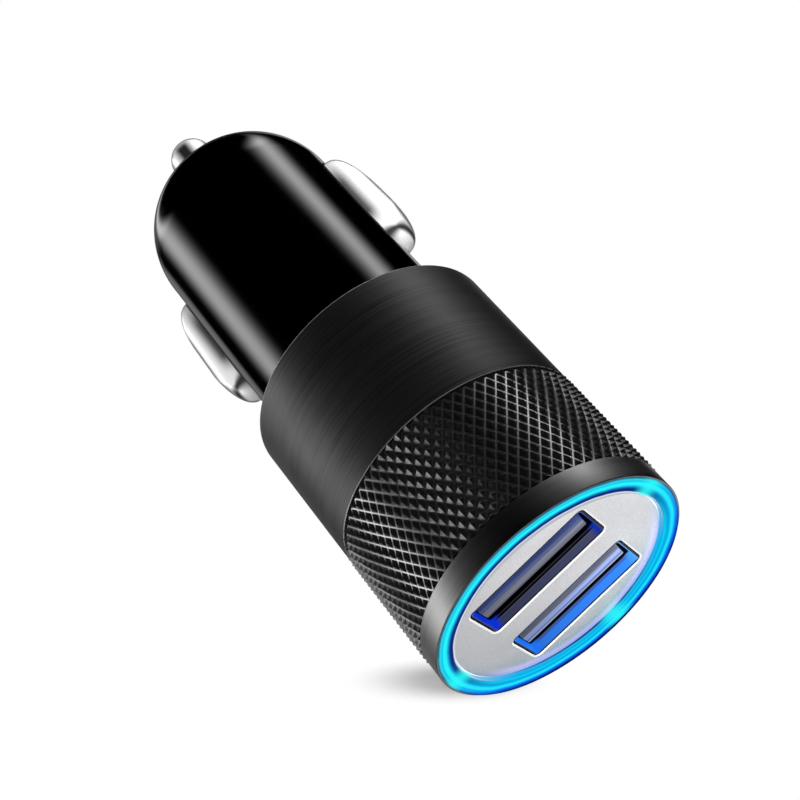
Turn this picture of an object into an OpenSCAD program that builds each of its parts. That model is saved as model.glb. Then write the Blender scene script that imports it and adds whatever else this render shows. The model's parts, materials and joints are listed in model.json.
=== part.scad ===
// Car charger plug for a 12 V socket, with two USB sockets in its face.
// It stands on its light ring: Z runs from the face to the nose, X along the
// slots of the USB sockets, and the origin is the middle of the ring's crest.

/* [Metal sleeve] */
// Wall that the front cap keeps outside the sockets' outer corners
corner_wall = 0.442; // [0.3:0.002:1.5]
// Length of the sleeve, from its front lip to its back edge
sleeve_len = 30.45; // [29:0.05:36]
// Wall of the sleeve
sleeve_wall = 1.3; // [1.2:0.05:1.5]
// Wall of the thin front lip round the light ring
lip_wall = 0.2; // [0.15:0.05:0.4]
// Length of the smooth rim between the lip and the knurl
rim_len = 2.55; // [2.2:0.05:5]
// Rounding of the sleeve's back edge
back_round = 0.4; // [0.1:0.05:0.8]
// Thickness of the sleeve's back wall, which the barrel passes through
back_wall = 1.2; // [0.8:0.1:2]

/* [Diamond knurl] */
// Length of the knurled band
knurl_len = 12.4; // [6:0.1:16]
// Number of diamonds round the band
knurl_count = 72; // [48:2:84]
// Angle between the knurl's grooves and the axis, in degrees
knurl_angle = 35.5; // [25:0.5:45]
// Depth of the knurl's grooves
knurl_depth = 0.38; // [0.2:0.02:0.45]
// How far the diamonds' tips stand above the smooth surface
knurl_stand = 0.15; // [0:0.01:0.25]
// Width of the relief groove at each end of the knurl
knurl_relief = 0.12; // [0.05:0.01:0.5]

/* [Light ring and face plate] */
// How far the light ring stands proud of the sleeve's lip
ring_proud = 0.45; // [0.2:0.05:0.8]
// Width of the light ring's glowing face
ring_w = 1.65; // [1.3:0.05:2]
// Width of the flat crest along the middle of the ring
crest_w = 0.6; // [0.3:0.05:1]
// Depth of the sleeve's seat for the light ring
ring_seat = 1.35; // [1.2:0.05:1.6]
// Thickness of the light ring's foot, behind the plate
ring_foot = 1.0; // [0.8:0.05:1.5]
// How far the face plate lies behind the sleeve's lip
plate_recess = 0.35; // [0.1:0.05:0.6]
// Thickness of the light ring's legs, which lead light up from the lamps
leg_t = 1.3; // [0.8:0.1:1.5]
// Width of the light ring's legs
leg_w = 3.0; // [2:0.1:4]

/* [USB sockets] */
// Distance between the middles of the two sockets
port_pitch = 8.98; // [8:0.02:9.2]
// Width of a socket's metal shell
shell_w = 13.1; // [12.8:0.1:13.4]
// Height of a socket's metal shell
shell_h = 5.7; // [5.5:0.1:5.8]
// Length of a socket's metal shell
shell_len = 14.7; // [13.5:0.1:15]
// Sheet thickness of the shell
shell_t = 0.3; // [0.2:0.05:0.4]
// Corner radius of the shell
shell_r = 0.6; // [0.45:0.05:1]
// How far the shell's front edge lies behind the plate's face
shell_recess = 0.1; // [0.05:0.05:0.6]
// Free space between the tongue's edges and the shell's sides
tongue_side = 0.7; // [0.4:0.05:1]
// Thickness of the contact tongue
tongue_t = 1.84; // [1.6:0.02:2]
// Free space between the tongue's plain side and the shell
tongue_gap = 0.72; // [0.5:0.02:0.9]
// How far the tongue's end lies behind the shell's front edge
tongue_recess = 0.1; // [0.05:0.05:1]
// Length of the free tongue
tongue_len = 9.6; // [8:0.1:10]
// Width of a contact strip
strip_w = 1.0; // [0.8:0.05:1.2]
// Thickness of a contact strip
strip_t = 0.3; // [0.2:0.05:0.4]
// How far a contact strip stands proud of the tongue
strip_proud = 0.1; // [0.05:0.01:0.15]

/* [Barrel and nose] */
// Diameter of the barrel that goes into the car's socket
barrel_d = 20.72; // [20.4:0.02:21]
// Length from the sleeve's back edge to where the nose begins
barrel_len = 24.75; // [24.5:0.05:28]
// Wall of the barrel
barrel_wall = 1.45; // [1.2:0.05:1.6]
// Wall of the wider cup inside the sleeve
cup_wall = 1.25; // [1:0.05:1.3]
// Length of the rounded nose
nose_len = 8.35; // [8:0.05:10]
// Diameter of the nose's flat end
nose_end_d = 7.8; // [7:0.1:9]
// Fullness of the nose's curve, where 2 is an ellipse
nose_power = 1.9; // [1.7:0.05:2.4]
// Thickness of the nose's end wall
nose_wall = 1.6; // [1.2:0.1:2]

/* [Centre contact] */
// Diameter of the centre contact
tip_d = 4.8; // [3.6:0.1:5.2]
// How far the centre contact stands out of the nose
tip_out = 7.4; // [6:0.1:10]
// How far the centre contact can be pushed in
tip_travel = 4.0; // [2:0.1:4.2]
// Thickness of the centre contact's flange
flange_t = 1.2; // [0.8:0.1:1.6]
// How far the flange stands out round the contact
flange_out = 1.35; // [1:0.05:1.6]
// Wire thickness of the contact's spring
wire_d = 0.5; // [0.3:0.05:0.6]
// Number of turns of the spring
spring_turns = 6; // [4:1:7]
// Length of the spring at rest
spring_len = 8.4; // [8:0.1:10]

/* [Ground wings] */
// Length of a wing
wing_len = 15.1; // [12:0.1:16.4]
// Width of a wing
wing_w = 4.3; // [3.5:0.1:4.8]
// How far a wing's crest stands out of the barrel
wing_out = 2.42; // [1.5:0.02:3]
// How much higher a wing is at its sleeve end than at its nose end
wing_tilt = 0.08; // [0:0.01:0.15]
// Distance from a wing's far end to where the nose begins
wing_back = 1.55; // [0.95:0.05:1.95]
// Angle that a wing swings in when pressed, in degrees
wing_press = 11; // [6:0.5:11]
// Sheet thickness of a wing's inner leaf
leaf_t = 0.4; // [0.3:0.05:0.5]
// Width of a wing's inner leaf
leaf_w = 6.0; // [5.6:0.1:6.2]

/* [Boards and parts] */
// Thickness of both circuit boards
board_t = 1.6; // [1.2:0.1:1.6]
// Free space between the main board's edges and the barrel
board_edge = 0.67; // [0.3:0.01:1.5]
// Free space between the main board and a wing that is pressed in
wing_room = 0.55; // [0.3:0.05:1.5]
// Width of the tab that joins the main board to the port board
tab_w = 8.0; // [6:0.1:9]
// Diameter of the inductor
coil_d = 8.0; // [6:0.1:8]
// Height of the inductor
coil_h = 5.0; // [4:0.1:6]
// Diameter of a capacitor
can_d = 6.3; // [5:0.1:6.3]
// Height of a capacitor
can_h = 5.4; // [4.5:0.1:6]
// Length of the regulator chip
chip_l = 5.0; // [4:0.1:6]
// Width of the regulator chip's body
chip_w = 3.9; // [3:0.1:4.4]
// Height of the regulator chip
chip_h = 1.6; // [1.2:0.1:2]
// Width of the rectifier diode
diode_w = 2.6; // [2:0.1:3]
// Length of the rectifier diode
diode_l = 4.3; // [3:0.1:5]
// Height of the rectifier diode
diode_h = 2.1; // [1.5:0.1:2.5]
// Width of the fuse
fuse_w = 2.4; // [1.8:0.1:3]
// Length of the fuse
fuse_l = 5.2; // [4:0.1:5.5]
// Height of the fuse
fuse_h = 1.6; // [1.2:0.1:2]
// Length of a ring lamp
led_s = 1.6; // [1:0.1:1.8]
// Width of a ring lamp
led_w = 0.8; // [0.5:0.1:1]
// Height of a ring lamp
led_h = 0.7; // [0.5:0.1:1]

/* [Hidden] */
$fn = 96;

// Clearances: glued or pressed fits, running fits, and holes that only clear
press_gap = 0.03;
run_gap = 0.05;
free_gap = 0.15;
// Gap between a wing and its slot
slot_gap = 0.22;
// Small depth that lets a cut run past its face
over = 1;

// Radii, from the sockets' outer corners out to the sleeve
window_w = shell_w + 2 * run_gap;
window_h = shell_h + 2 * run_gap;
corner_x = window_w / 2;
corner_y = (port_pitch + window_h) / 2;
cap_r = sqrt(corner_x * corner_x + corner_y * corner_y) + corner_wall;
cup_in_r = cap_r + run_gap;
cup_r = cup_in_r + cup_wall;
bore_r = cup_r + run_gap;
sleeve_r = bore_r + sleeve_wall;
lip_r = sleeve_r - lip_wall;
barrel_r = barrel_d / 2;
barrel_in_r = barrel_r - barrel_wall;
board_seat = 0.8;
cup_step_r = cup_in_r - board_seat;
ring_r = lip_r - press_gap;
plate_edge_r = ring_r - ring_w;
plate_r = plate_edge_r - press_gap;

// Stations along Z
z_lip = ring_proud;
z_plate = z_lip + plate_recess;
z_shelf = z_lip + ring_seat;
z_foot = z_shelf + ring_foot;
plate_t = z_shelf - z_plate;
z_rim_end = z_lip + rim_len;
z_knurl_end = z_rim_end + knurl_len;
z_sleeve_end = z_lip + sleeve_len;
z_shoulder = z_sleeve_end - back_wall;
z_shell = z_plate + shell_recess;
z_board = z_shell + shell_len;
z_board_back = z_board + board_t;
z_tongue = z_shell + tongue_recess;
z_strip = z_tongue + 0.6;
z_base = z_tongue + tongue_len;
z_nose = z_sleeve_end + barrel_len;
z_nose_end = z_nose + nose_len;
z_flange = z_nose_end - nose_wall;
z_tip = z_nose_end + tip_out;
z_wing = z_nose - wing_back - wing_len;

// Knurl: its rings of half diamonds, and the radii of tips, roots and bed
knurl_tip_r = sleeve_r + knurl_stand;
knurl_root_r = knurl_tip_r - knurl_depth;
knurl_bed = 0.17;
knurl_bed_r = knurl_root_r - knurl_bed;
knurl_sunk_r = knurl_bed_r - 0.25;
knurl_z0 = z_rim_end + knurl_relief;
knurl_z1 = z_knurl_end - knurl_relief;
half_pitch = PI * sleeve_r / knurl_count;
knurl_rows = round((knurl_z1 - knurl_z0) * tan(knurl_angle) / half_pitch);
edge_break = 0.12;

// Sockets: which way each lies from the middle, and their inner sizes
port_side = [-1, 1];
shell_in_w = shell_w - 2 * shell_t;
shell_in_h = shell_h - 2 * shell_t;
tongue_w = shell_in_w - 2 * tongue_side;
outer_strip_x = 3.5;
inner_strip_x = 1.0;
strip_xs = [-outer_strip_x, -inner_strip_x, inner_strip_x, outer_strip_x];
tail_w = 0.6;
tail_out = 0.8;
shell_leg_w = 2.0;
tongue_y = -shell_in_h / 2 + tongue_gap + tongue_t / 2;
strip_y = tongue_y + tongue_t / 2 + strip_proud - strip_t / 2;

// Front cap and light legs
cap_t = 4.0;
z_cap_end = z_shelf + cap_t;
leg_out_r = cap_r - run_gap;
leg_in_x = leg_out_r - leg_t;
leg_gap = 0.3;
z_leg_end = z_board - led_h - leg_gap;

// Wings: the leaf lies just inside the barrel's bore
wing_plan = wing_w / 2;
wing_base_x = barrel_r * cos(asin(wing_plan / barrel_r));
wing_rise = barrel_r + wing_out - wing_base_x;
wing_mid_z = z_wing + wing_len / 2;
wing_end_z = z_wing + wing_len;
leaf_out_x = sqrt(pow(barrel_in_r, 2) - pow(leaf_w / 2, 2)) - 0.1;
leaf_in_x = leaf_out_x - leaf_t;
leaf_over = 0.5;
leaf_z0 = z_wing - leaf_over;
root_len = 1.3;
leaf_z1 = wing_end_z + root_len;
pivot_x = leaf_out_x - leaf_t / 2;
pivot_z = leaf_z1 - 0.3;
wing_rings = 9;
wing_round = 40;
dome_power = 2.6;

// Nose: the end boss that guides the flange, and the hollow round it
guide_r = tip_d / 2 + flange_out + run_gap;
guide_wall = 1.2;
guide_len = tip_travel + flange_t;
z_guide = z_flange - guide_len;
hollow_len = min(nose_len * 0.63, z_flange - 1 - z_nose);

// Spring and its seat
spring_r = tip_d / 2 + wire_d / 2 + 0.15;
z_spring_top = z_flange - flange_t;
z_seat = z_spring_top - spring_len;
seat_t = 0.8;
seat_grip = 1.5;
seat_r = spring_r + wire_d / 2 + 0.25;
spigot_len = 1.0;

// Main board
tab_len = board_t - 0.2;
z_narrow = leaf_z0 - 1.2;
z_board_end = z_seat - seat_t;
guide_rib = 1.0;
part_gap = 1.0;
z_coil = z_board_back + part_gap + coil_d / 2;
z_can_in = z_coil + coil_d / 2 + part_gap + can_d / 2;
z_chip = z_board_back + part_gap + chip_l / 2;
z_can_out = z_chip + chip_l / 2 + part_gap + can_d / 2;
lead_l = 0.5;
z_diode = z_narrow + part_gap + lead_l + diode_l / 2;
z_fuse = z_narrow + part_gap + lead_l + fuse_l / 2;
face_y = board_t / 2;
board_bore_r = min(barrel_in_r, cup_step_r);
board_w = 2 * (sqrt(pow(board_bore_r, 2) - pow(face_y, 2)) - board_edge);
wing_swing = (pivot_z - leaf_z0) * sin(wing_press);
board_narrow_w = 2 * (leaf_in_x - wing_swing - wing_room);
core_d = coil_d * 0.45;
core_flange = coil_h * 0.18;
winding_gap = 0.4;

// Outline helpers

// Points of a quarter ellipse from angle a to angle b, about a centre
function arc(cx, cy, rx, ry, a, b, steps = 8) =
    [for (i = [0:steps]) let (t = a + (b - a) * i / steps) [cx + rx * cos(t), cy + ry * sin(t)]];

// Points of a rounded nose that shrinks from r0 to r1 over a length
function nose_curve(r0, r1, z0, length, steps = 14) =
    [for (i = [0:steps]) let (t = 90 * i / steps, p = 2 / nose_power)
        [r1 + (r0 - r1) * pow(cos(t), p), z0 + length * pow(sin(t), p)]];

module rounded_rect(w, h, r) {
    square([w - 2 * r, h], center = true);
    square([w, h - 2 * r], center = true);
    for (x = [-1, 1], y = [-1, 1])
        translate([x * (w / 2 - r), y * (h / 2 - r)]) circle(r = r, $fn = 32);
}

module stadium(w, h) {
    square([w - h, h], center = true);
    for (x = [-1, 1]) translate([x * (w - h) / 2, 0]) circle(d = h, $fn = 48);
}

// Window that a socket's shell passes through
module socket_window() {
    rounded_rect(window_w, window_h, shell_r + run_gap);
}

module slab(z0, z1) {
    translate([0, 0, z0]) linear_extrude(z1 - z0) children();
}

module at_port(i) {
    translate([0, port_side[i] * port_pitch / 2, 0]) children();
}

// Diamond knurl: a band of small pyramids between two families of helical grooves
function knurl_radius(i, j) = (i + j) % 2 == 1 ? knurl_root_r : knurl_tip_r;

function knurl_point(r, i, z) = [r * cos(180 * i / knurl_count), r * sin(180 * i / knurl_count), z];

module knurl_band() {
    n = 2 * knurl_count;
    step = (knurl_z1 - knurl_z0) / knurl_rows;
    outside = [for (j = [0:knurl_rows], i = [0:n - 1])
        knurl_point(knurl_radius(i, j), i, knurl_z0 + step * j)];
    inside = [for (j = [0, 1], i = [0:n - 1])
        knurl_point(knurl_sunk_r, i, j == 0 ? knurl_z0 : knurl_z1)];
    first_in = n * (knurl_rows + 1);
    top = n * knurl_rows;
    // Every cell of the net is split along the groove that crosses it
    cells = [for (j = [0:knurl_rows - 1], i = [0:n - 1])
        let (k = (i + 1) % n, a = j * n + i, b = j * n + k, c = a + n, d = b + n)
        each ((i + j) % 2 == 0 ? [[a, c, b], [b, c, d]] : [[a, d, b], [a, c, d]])];
    ends = [for (i = [0:n - 1]) let (k = (i + 1) % n)
        each [[i, k, first_in + k, first_in + i],
              [first_in + i, first_in + k, first_in + n + k, first_in + n + i],
              [first_in + n + i, first_in + n + k, top + k, top + i]]];
    polyhedron(points = concat(outside, inside), faces = concat(cells, ends));
}

// Sleeve: one turned piece with its lip, knurl, plain band and back wall
module sleeve() {
    back = arc(sleeve_r - back_round, z_sleeve_end - back_round, back_round, back_round, 0, 90);
    profile = concat(
        [[lip_r, z_shelf], [lip_r, z_lip], [lip_r + 0.06, z_lip], [sleeve_r, z_lip + 0.2],
         [sleeve_r, z_rim_end - edge_break], [sleeve_r - edge_break, z_rim_end],
         [knurl_bed_r, z_rim_end], [knurl_bed_r, z_knurl_end],
         [sleeve_r - edge_break, z_knurl_end], [sleeve_r, z_knurl_end + edge_break]],
        back,
        [[barrel_r + run_gap, z_sleeve_end], [barrel_r + run_gap, z_shoulder],
         [bore_r, z_shoulder], [bore_r, z_shelf]]);
    color([0.09, 0.09, 0.1]) union() {
        rotate_extrude() polygon(profile);
        knurl_band();
    }
}

// Light ring: a clear bulge round the face, a foot behind the plate and two legs to the lamps
module light_ring() {
    mid_r = (ring_r + plate_edge_r) / 2;
    outer = arc(mid_r + crest_w / 2, z_lip, ring_r - mid_r - crest_w / 2, ring_proud, 0, -90);
    inner = arc(mid_r - crest_w / 2, z_lip, mid_r - crest_w / 2 - plate_edge_r, ring_proud, -90, -180);
    // The legs reach a little way into the ring's foot
    leg_root_x = cup_in_r + 0.3;
    profile = concat([[ring_r, z_shelf]], outer, inner,
        [[plate_edge_r, z_shelf], [cup_in_r, z_shelf], [cup_in_r, z_foot],
         [cup_r, z_foot], [cup_r, z_shelf]]);
    color([0.25, 0.75, 1, 0.9]) union() {
        rotate_extrude() polygon(profile);
        intersection() {
            for (s = [-1, 1])
                translate([s * (leg_in_x + leg_t), 0, 0])
                    slab(z_shelf, z_leg_end) square([2 * leg_t, leg_w], center = true);
            cylinder(r = leg_out_r, h = z_board);
        }
        for (s = [-1, 1])
            translate([s * (leg_in_x + leg_root_x) / 2, 0, 0])
                slab(z_shelf, z_foot) square([leg_root_x - leg_in_x, leg_w], center = true);
    }
}

// Face plate: a satin disc with the two socket windows
module face_plate() {
    color([0.8, 0.8, 0.82]) difference() {
        translate([0, 0, z_plate]) cylinder(r = plate_r, h = plate_t);
        for (i = [0, 1]) at_port(i) slab(z_plate - over, z_shelf + over) socket_window();
    }
}

// Front cap: the moulded disc that carries the plate and holds both sockets
module front_cap() {
    color([0.13, 0.13, 0.14]) difference() {
        translate([0, 0, z_shelf]) cylinder(r = cap_r, h = cap_t);
        for (i = [0, 1]) at_port(i) slab(z_shelf - over, z_cap_end + over) socket_window();
        for (s = [-1, 1])
            translate([s * (leg_in_x - free_gap + leg_t), 0, 0]) slab(z_shelf - over, z_cap_end + over)
                square([2 * leg_t, leg_w + 2 * free_gap], center = true);
    }
}

// Barrel housing: one moulding, from the cup inside the sleeve to the rounded nose
module barrel_housing() {
    boss_r = guide_r + guide_wall;
    outside = concat(
        [[cup_in_r, z_foot], [cup_r, z_foot], [cup_r, z_shoulder], [barrel_r, z_shoulder]],
        nose_curve(barrel_r, nose_end_d / 2, z_nose, nose_len));
    inside = concat(
        [[tip_d / 2 + run_gap, z_nose_end], [tip_d / 2 + run_gap, z_flange],
         [guide_r, z_flange], [guide_r, z_guide], [boss_r, z_guide]],
        [for (i = [14:-1:0]) nose_curve(barrel_in_r, boss_r, z_nose, hollow_len)[i]],
        [[barrel_in_r, z_shoulder - cup_wall], [cup_step_r, z_shoulder - cup_wall],
         [cup_step_r, z_board_back], [cup_in_r, z_board_back]]);
    color([0.03, 0.03, 0.035]) difference() {
        union() {
            rotate_extrude() polygon(concat(outside, inside));
            board_guides();
            wing_pockets();
        }
        for (s = [-1, 1])
            translate([s * (barrel_r - barrel_wall / 2), 0, wing_mid_z]) rotate([0, 90, 0])
                linear_extrude(barrel_wall + 2 * over, center = true)
                    stadium(wing_len + 2 * slot_gap, wing_w + 2 * slot_gap);
    }
}

// Ribs on each side that hold the edges of the main board
module board_guides() {
    for (s = [-1, 1], t = [-1, 1])
        intersection() {
            translate([s * barrel_in_r, t * (face_y + press_gap + guide_rib / 2), z_shoulder])
                slab(0, z_narrow - z_shoulder - 0.5)
                    square([2 * (barrel_in_r - board_w / 2 + guide_rib), guide_rib], center = true);
            cylinder(r = barrel_in_r + barrel_wall / 2, h = z_nose);
        }
}

// Blocks behind the root of each wing's leaf
module wing_pockets() {
    pocket_out = leaf_in_x - 0.2;
    for (s = [-1, 1])
        translate([s * (pocket_out - 0.75), 0, 0]) slab(pivot_z - 0.4, z_nose + hollow_len)
            square([1.5, leaf_w - 1], center = true);
}

// Socket shell: folded sheet, open in front, with four legs through the port board
module usb_shell(i) {
    color([0.72, 0.73, 0.76]) at_port(i) {
        slab(z_shell, z_board) difference() {
            rounded_rect(shell_w, shell_h, shell_r);
            rounded_rect(shell_in_w, shell_in_h, shell_r - shell_t);
        }
        for (s = [-1, 1])
            translate([s * (shell_w - shell_t) / 2, 0, 0]) slab(z_board, z_board_back + tail_out)
                square([shell_t, shell_leg_w], center = true);
    }
}

// One row of contact strips, or the grooves that they lie in
module strips(i, gap) {
    at_port(i) for (x = strip_xs)
        translate([x, strip_y, 0]) {
            slab(z_strip - gap, z_board) square([strip_w + 2 * gap, strip_t], center = true);
            if (gap == 0) slab(z_board, z_board_back + tail_out) square([tail_w, strip_t], center = true);
        }
}

// Socket insert: the tongue with its base block, grooved for the strips
module usb_insert(i) {
    color([0.93, 0.93, 0.95]) difference() {
        at_port(i) {
            translate([0, tongue_y, 0]) slab(z_tongue, z_board) square([tongue_w, tongue_t], center = true);
            slab(z_base, z_board)
                rounded_rect(shell_in_w - 2 * press_gap, shell_in_h - 2 * press_gap, shell_r - shell_t);
        }
        strips(i, press_gap);
        at_port(i) for (x = strip_xs)
            translate([x, strip_y + strip_t / 2, 0]) slab(z_strip - press_gap, z_base)
                translate([0, strip_t / 2]) square([strip_w + 2 * press_gap, strip_t], center = true);
    }
}

module usb_contacts(i) {
    color([0.85, 0.68, 0.3]) strips(i, 0);
}

// Port board: the round board that both sockets and the ring lamps stand on
module port_board() {
    color([0.05, 0.3, 0.15]) difference() {
        translate([0, 0, z_board]) cylinder(r = cup_in_r - run_gap, h = board_t);
        for (i = [0, 1]) at_port(i) {
            for (s = [-1, 1])
                translate([s * (shell_w - shell_t) / 2, 0, 0]) slab(z_board - over, z_board_back + over)
                    square([shell_t + 2 * free_gap, shell_leg_w + 2 * free_gap], center = true);
            for (x = strip_xs)
                translate([x, strip_y, z_board - over])
                    cylinder(d = tail_w + 2 * free_gap, h = board_t + 2 * over, $fn = 24);
        }
        slab(z_board - over, z_board_back + over)
            square([tab_w + 2 * free_gap, board_t + 2 * run_gap], center = true);
    }
}

// Main board: a wide half behind the port board and a narrow half between the wings
module main_board() {
    color([0.05, 0.32, 0.16]) rotate([90, 0, 0]) linear_extrude(board_t, center = true)
        polygon([[-tab_w / 2, z_board_back - tab_len], [tab_w / 2, z_board_back - tab_len],
                 [tab_w / 2, z_board_back], [board_w / 2, z_board_back],
                 [board_w / 2, z_narrow], [board_narrow_w / 2, z_narrow],
                 [board_narrow_w / 2, z_board_end], [-board_narrow_w / 2, z_board_end],
                 [-board_narrow_w / 2, z_narrow], [-board_w / 2, z_narrow],
                 [-board_w / 2, z_board_back], [-tab_w / 2, z_board_back]]);
}

module ring_led(i) {
    color([0.95, 0.95, 0.8])
        translate([port_side[i] * (leg_in_x + leg_out_r) / 2, 0, 0])
            slab(z_board - led_h, z_board) square([led_w, led_s], center = true);
}

// Puts a part on one face of the main board, with its height along Y
module on_board(side, z) {
    translate([0, side * face_y, z]) rotate([-90 * side, 0, 0]) children();
}

// Inductor: a ferrite bobbin with a flange at each end, and the wire wound between them
module inductor_core() {
    color([0.2, 0.2, 0.22]) on_board(1, z_coil) {
        cylinder(d = coil_d, h = core_flange);
        cylinder(d = core_d, h = coil_h);
        translate([0, 0, coil_h - core_flange]) cylinder(d = coil_d, h = core_flange);
    }
}

module inductor_winding() {
    color([0.72, 0.38, 0.15]) on_board(1, z_coil) translate([0, 0, core_flange]) difference() {
        cylinder(d = coil_d - 2 * winding_gap, h = coil_h - 2 * core_flange);
        translate([0, 0, -over]) cylinder(d = core_d + 2 * run_gap, h = coil_h + 2 * over);
    }
}

// Can capacitor: a square base and a drawn can with its crimp
module can_capacitor(side, z) {
    base_h = can_h * 0.15;
    crimp = can_d * 0.05;
    neck_r = can_d / 2 - crimp;
    on_board(side, z) {
        slab(0, base_h) square([can_d, can_d], center = true);
        rotate_extrude() polygon([[0, base_h / 2], [neck_r, base_h / 2],
            [neck_r, base_h + crimp], [can_d / 2, base_h + 2 * crimp],
            [can_d / 2, can_h - crimp], [neck_r, can_h], [0, can_h]]);
    }
}

module input_capacitor() {
    color([0.75, 0.75, 0.78]) can_capacitor(1, z_can_in);
}

module output_capacitor() {
    color([0.75, 0.75, 0.78]) can_capacitor(-1, z_can_out);
}

// Regulator chip: a body and eight bent legs
module regulator_chip() {
    leg = [0.7, chip_l * 0.08, 0.25];
    leg_top = chip_h * 0.53;
    color([0.08, 0.08, 0.08]) on_board(-1, z_chip) {
        slab(chip_h * 0.1, chip_h) square([chip_w, chip_l], center = true);
        for (s = [0, 1], k = [0:3])
            mirror([s, 0, 0]) translate([chip_w / 2, (k - 1.5) * chip_l / 4 - leg[1] / 2, 0]) {
                translate([-leg[2], 0, leg_top - leg[2]]) cube([leg[0] + leg[2], leg[1], leg[2]]);
                translate([leg[0] - leg[2], 0, 0]) cube([leg[2], leg[1], leg_top]);
                translate([leg[0] - leg[2], 0, 0]) cube(leg);
            }
    }
}

// A moulded part with a folded lead under each end
module end_lead_part(side, z, w, l, h) {
    on_board(side, z) {
        slab(h * 0.06, h) square([w, l], center = true);
        for (s = [-1, 1])
            translate([0, s * (l / 2 + lead_l * 0.2), 0])
                slab(0, h / 2) square([w * 0.6, lead_l], center = true);
    }
}

module rectifier_diode() {
    color([0.1, 0.1, 0.1]) end_lead_part(1, z_diode, diode_w, diode_l, diode_h);
}

module fuse() {
    color([0.9, 0.88, 0.8]) end_lead_part(-1, z_fuse, fuse_w, fuse_l, fuse_h);
}

// Spring seat: a brass cup that straddles the end of the main board
module spring_seat() {
    color([0.8, 0.62, 0.3]) difference() {
        translate([0, 0, z_board_end - seat_grip]) cylinder(r = seat_r, h = seat_grip + seat_t);
        slab(z_board_end - seat_grip - over, z_board_end)
            square([4 * seat_r, board_t + 2 * press_gap], center = true);
    }
}

// Centre spring: closed end turns and open turns between them
module centre_spring() {
    sides = 6;
    per_turn = 14;
    steps = spring_turns * per_turn;
    rise = spring_len - wire_d;
    // Share of the rise at a share of the length, closer wound toward both ends
    end_flat = 0.5;
    function share(t) = t - end_flat * sin(360 * t) / (2 * PI);
    points = [for (k = [0:steps], m = [0:sides - 1])
        let (t = k / steps, a = 360 * spring_turns * t, b = 360 * m / sides + 30,
             r = spring_r + wire_d / 2 * cos(b))
        [r * cos(a), r * sin(a), z_seat + wire_d / 2 + rise * share(t) + wire_d / 2 * sin(b)]];
    walls = [for (k = [0:steps - 1], m = [0:sides - 1])
        let (n = (m + 1) % sides, a = k * sides + m, b = k * sides + n)
        each [[a, b, b + sides], [a, b + sides, a + sides]]];
    caps = [[for (m = [sides - 1:-1:0]) m], [for (m = [0:sides - 1]) steps * sides + m]];
    color([0.7, 0.7, 0.72]) polyhedron(points = points, faces = concat(walls, caps));
}

// Centre contact: a turned pin with a domed end, a flange and a spigot for the spring
module centre_contact() {
    r = tip_d / 2;
    profile = concat(
        [[0, z_spring_top - spigot_len], [r - 0.2, z_spring_top - spigot_len],
         [r - 0.2, z_spring_top], [r + flange_out, z_spring_top],
         [r + flange_out, z_flange], [r, z_flange]],
        arc(0, z_tip - r, r, r, 0, 90, 10));
    color([0.85, 0.85, 0.87]) rotate_extrude() polygon(profile);
}

// Ground wing: a drawn dome with straight flanks that pass through the slot, on a flat leaf
function wing_point(s, x, k) =
    let (a = 360 * k / wing_round, reach = wing_len / 2 - wing_plan,
         y = wing_plan * cos(a), z = wing_plan * sin(a) + (sin(a) >= 0 ? reach : -reach),
         lean = 1 - wing_tilt * s * z / (wing_len / 2))
    [wing_base_x + (x - wing_base_x) * (x > wing_base_x ? lean : 1), s * y, wing_mid_z + s * z];

module wing_dome() {
    foot = [for (k = [0:wing_round - 1]) wing_point(1, pivot_x, k)];
    rings = [for (j = [0:wing_rings - 1], k = [0:wing_round - 1])
        let (t = 90 * j / wing_rings, p = 2 / dome_power)
        wing_point(pow(cos(t), p), wing_base_x + wing_rise * pow(sin(t), p), k)];
    crest = [[wing_base_x + wing_rise, 0, wing_mid_z]];
    n = wing_round;
    sides = [for (j = [0:wing_rings - 1], k = [0:n - 1])
        let (m = (k + 1) % n, a = j * n + k, b = j * n + m)
        each [[a, b + n, b], [a, a + n, b + n]]];
    cap = [for (k = [0:n - 1]) [wing_rings * n + (k + 1) % n, wing_rings * n + k, (wing_rings + 1) * n]];
    base = [[for (k = [0:n - 1]) k]];
    polyhedron(points = concat(foot, rings, crest), faces = concat(sides, cap, base));
}

module ground_wing(side) {
    color([0.85, 0.85, 0.87]) mirror([side < 0 ? 1 : 0, 0, 0]) {
        wing_dome();
        translate([leaf_in_x, -leaf_w / 2, leaf_z0]) cube([leaf_t, leaf_w, leaf_z1 - leaf_z0]);
    }
}

sleeve();
light_ring();
face_plate();
front_cap();
barrel_housing();
usb_shell(0);  // usb_shell_1
usb_shell(1);  // usb_shell_2
usb_insert(0);  // usb_insert_1
usb_insert(1);  // usb_insert_2
usb_contacts(0);  // usb_contacts_1
usb_contacts(1);  // usb_contacts_2
port_board();
main_board();
ring_led(0);  // ring_led_1
ring_led(1);  // ring_led_2
inductor_core();
inductor_winding();
input_capacitor();
output_capacitor();
regulator_chip();
rectifier_diode();
fuse();
spring_seat();
centre_spring();
centre_contact();
ground_wing(-1);  // ground_wing_1
ground_wing(1);  // ground_wing_2
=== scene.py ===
# %% [markdown]
# # Car USB charger plug
#
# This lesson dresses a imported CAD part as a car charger: a turned black sleeve with a diamond knurl, a
# glowing ring round two USB sockets, a gloss black barrel, two chrome wings and a chrome tip. The CAD part
# is loaded as a fixed frame. It says where each piece sits and which body it moves with, and every length
# below is in millimetres until the mesh is made.

import json
import math

import bmesh
import bpy
import numpy as np
from mathutils import Matrix, Vector


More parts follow.
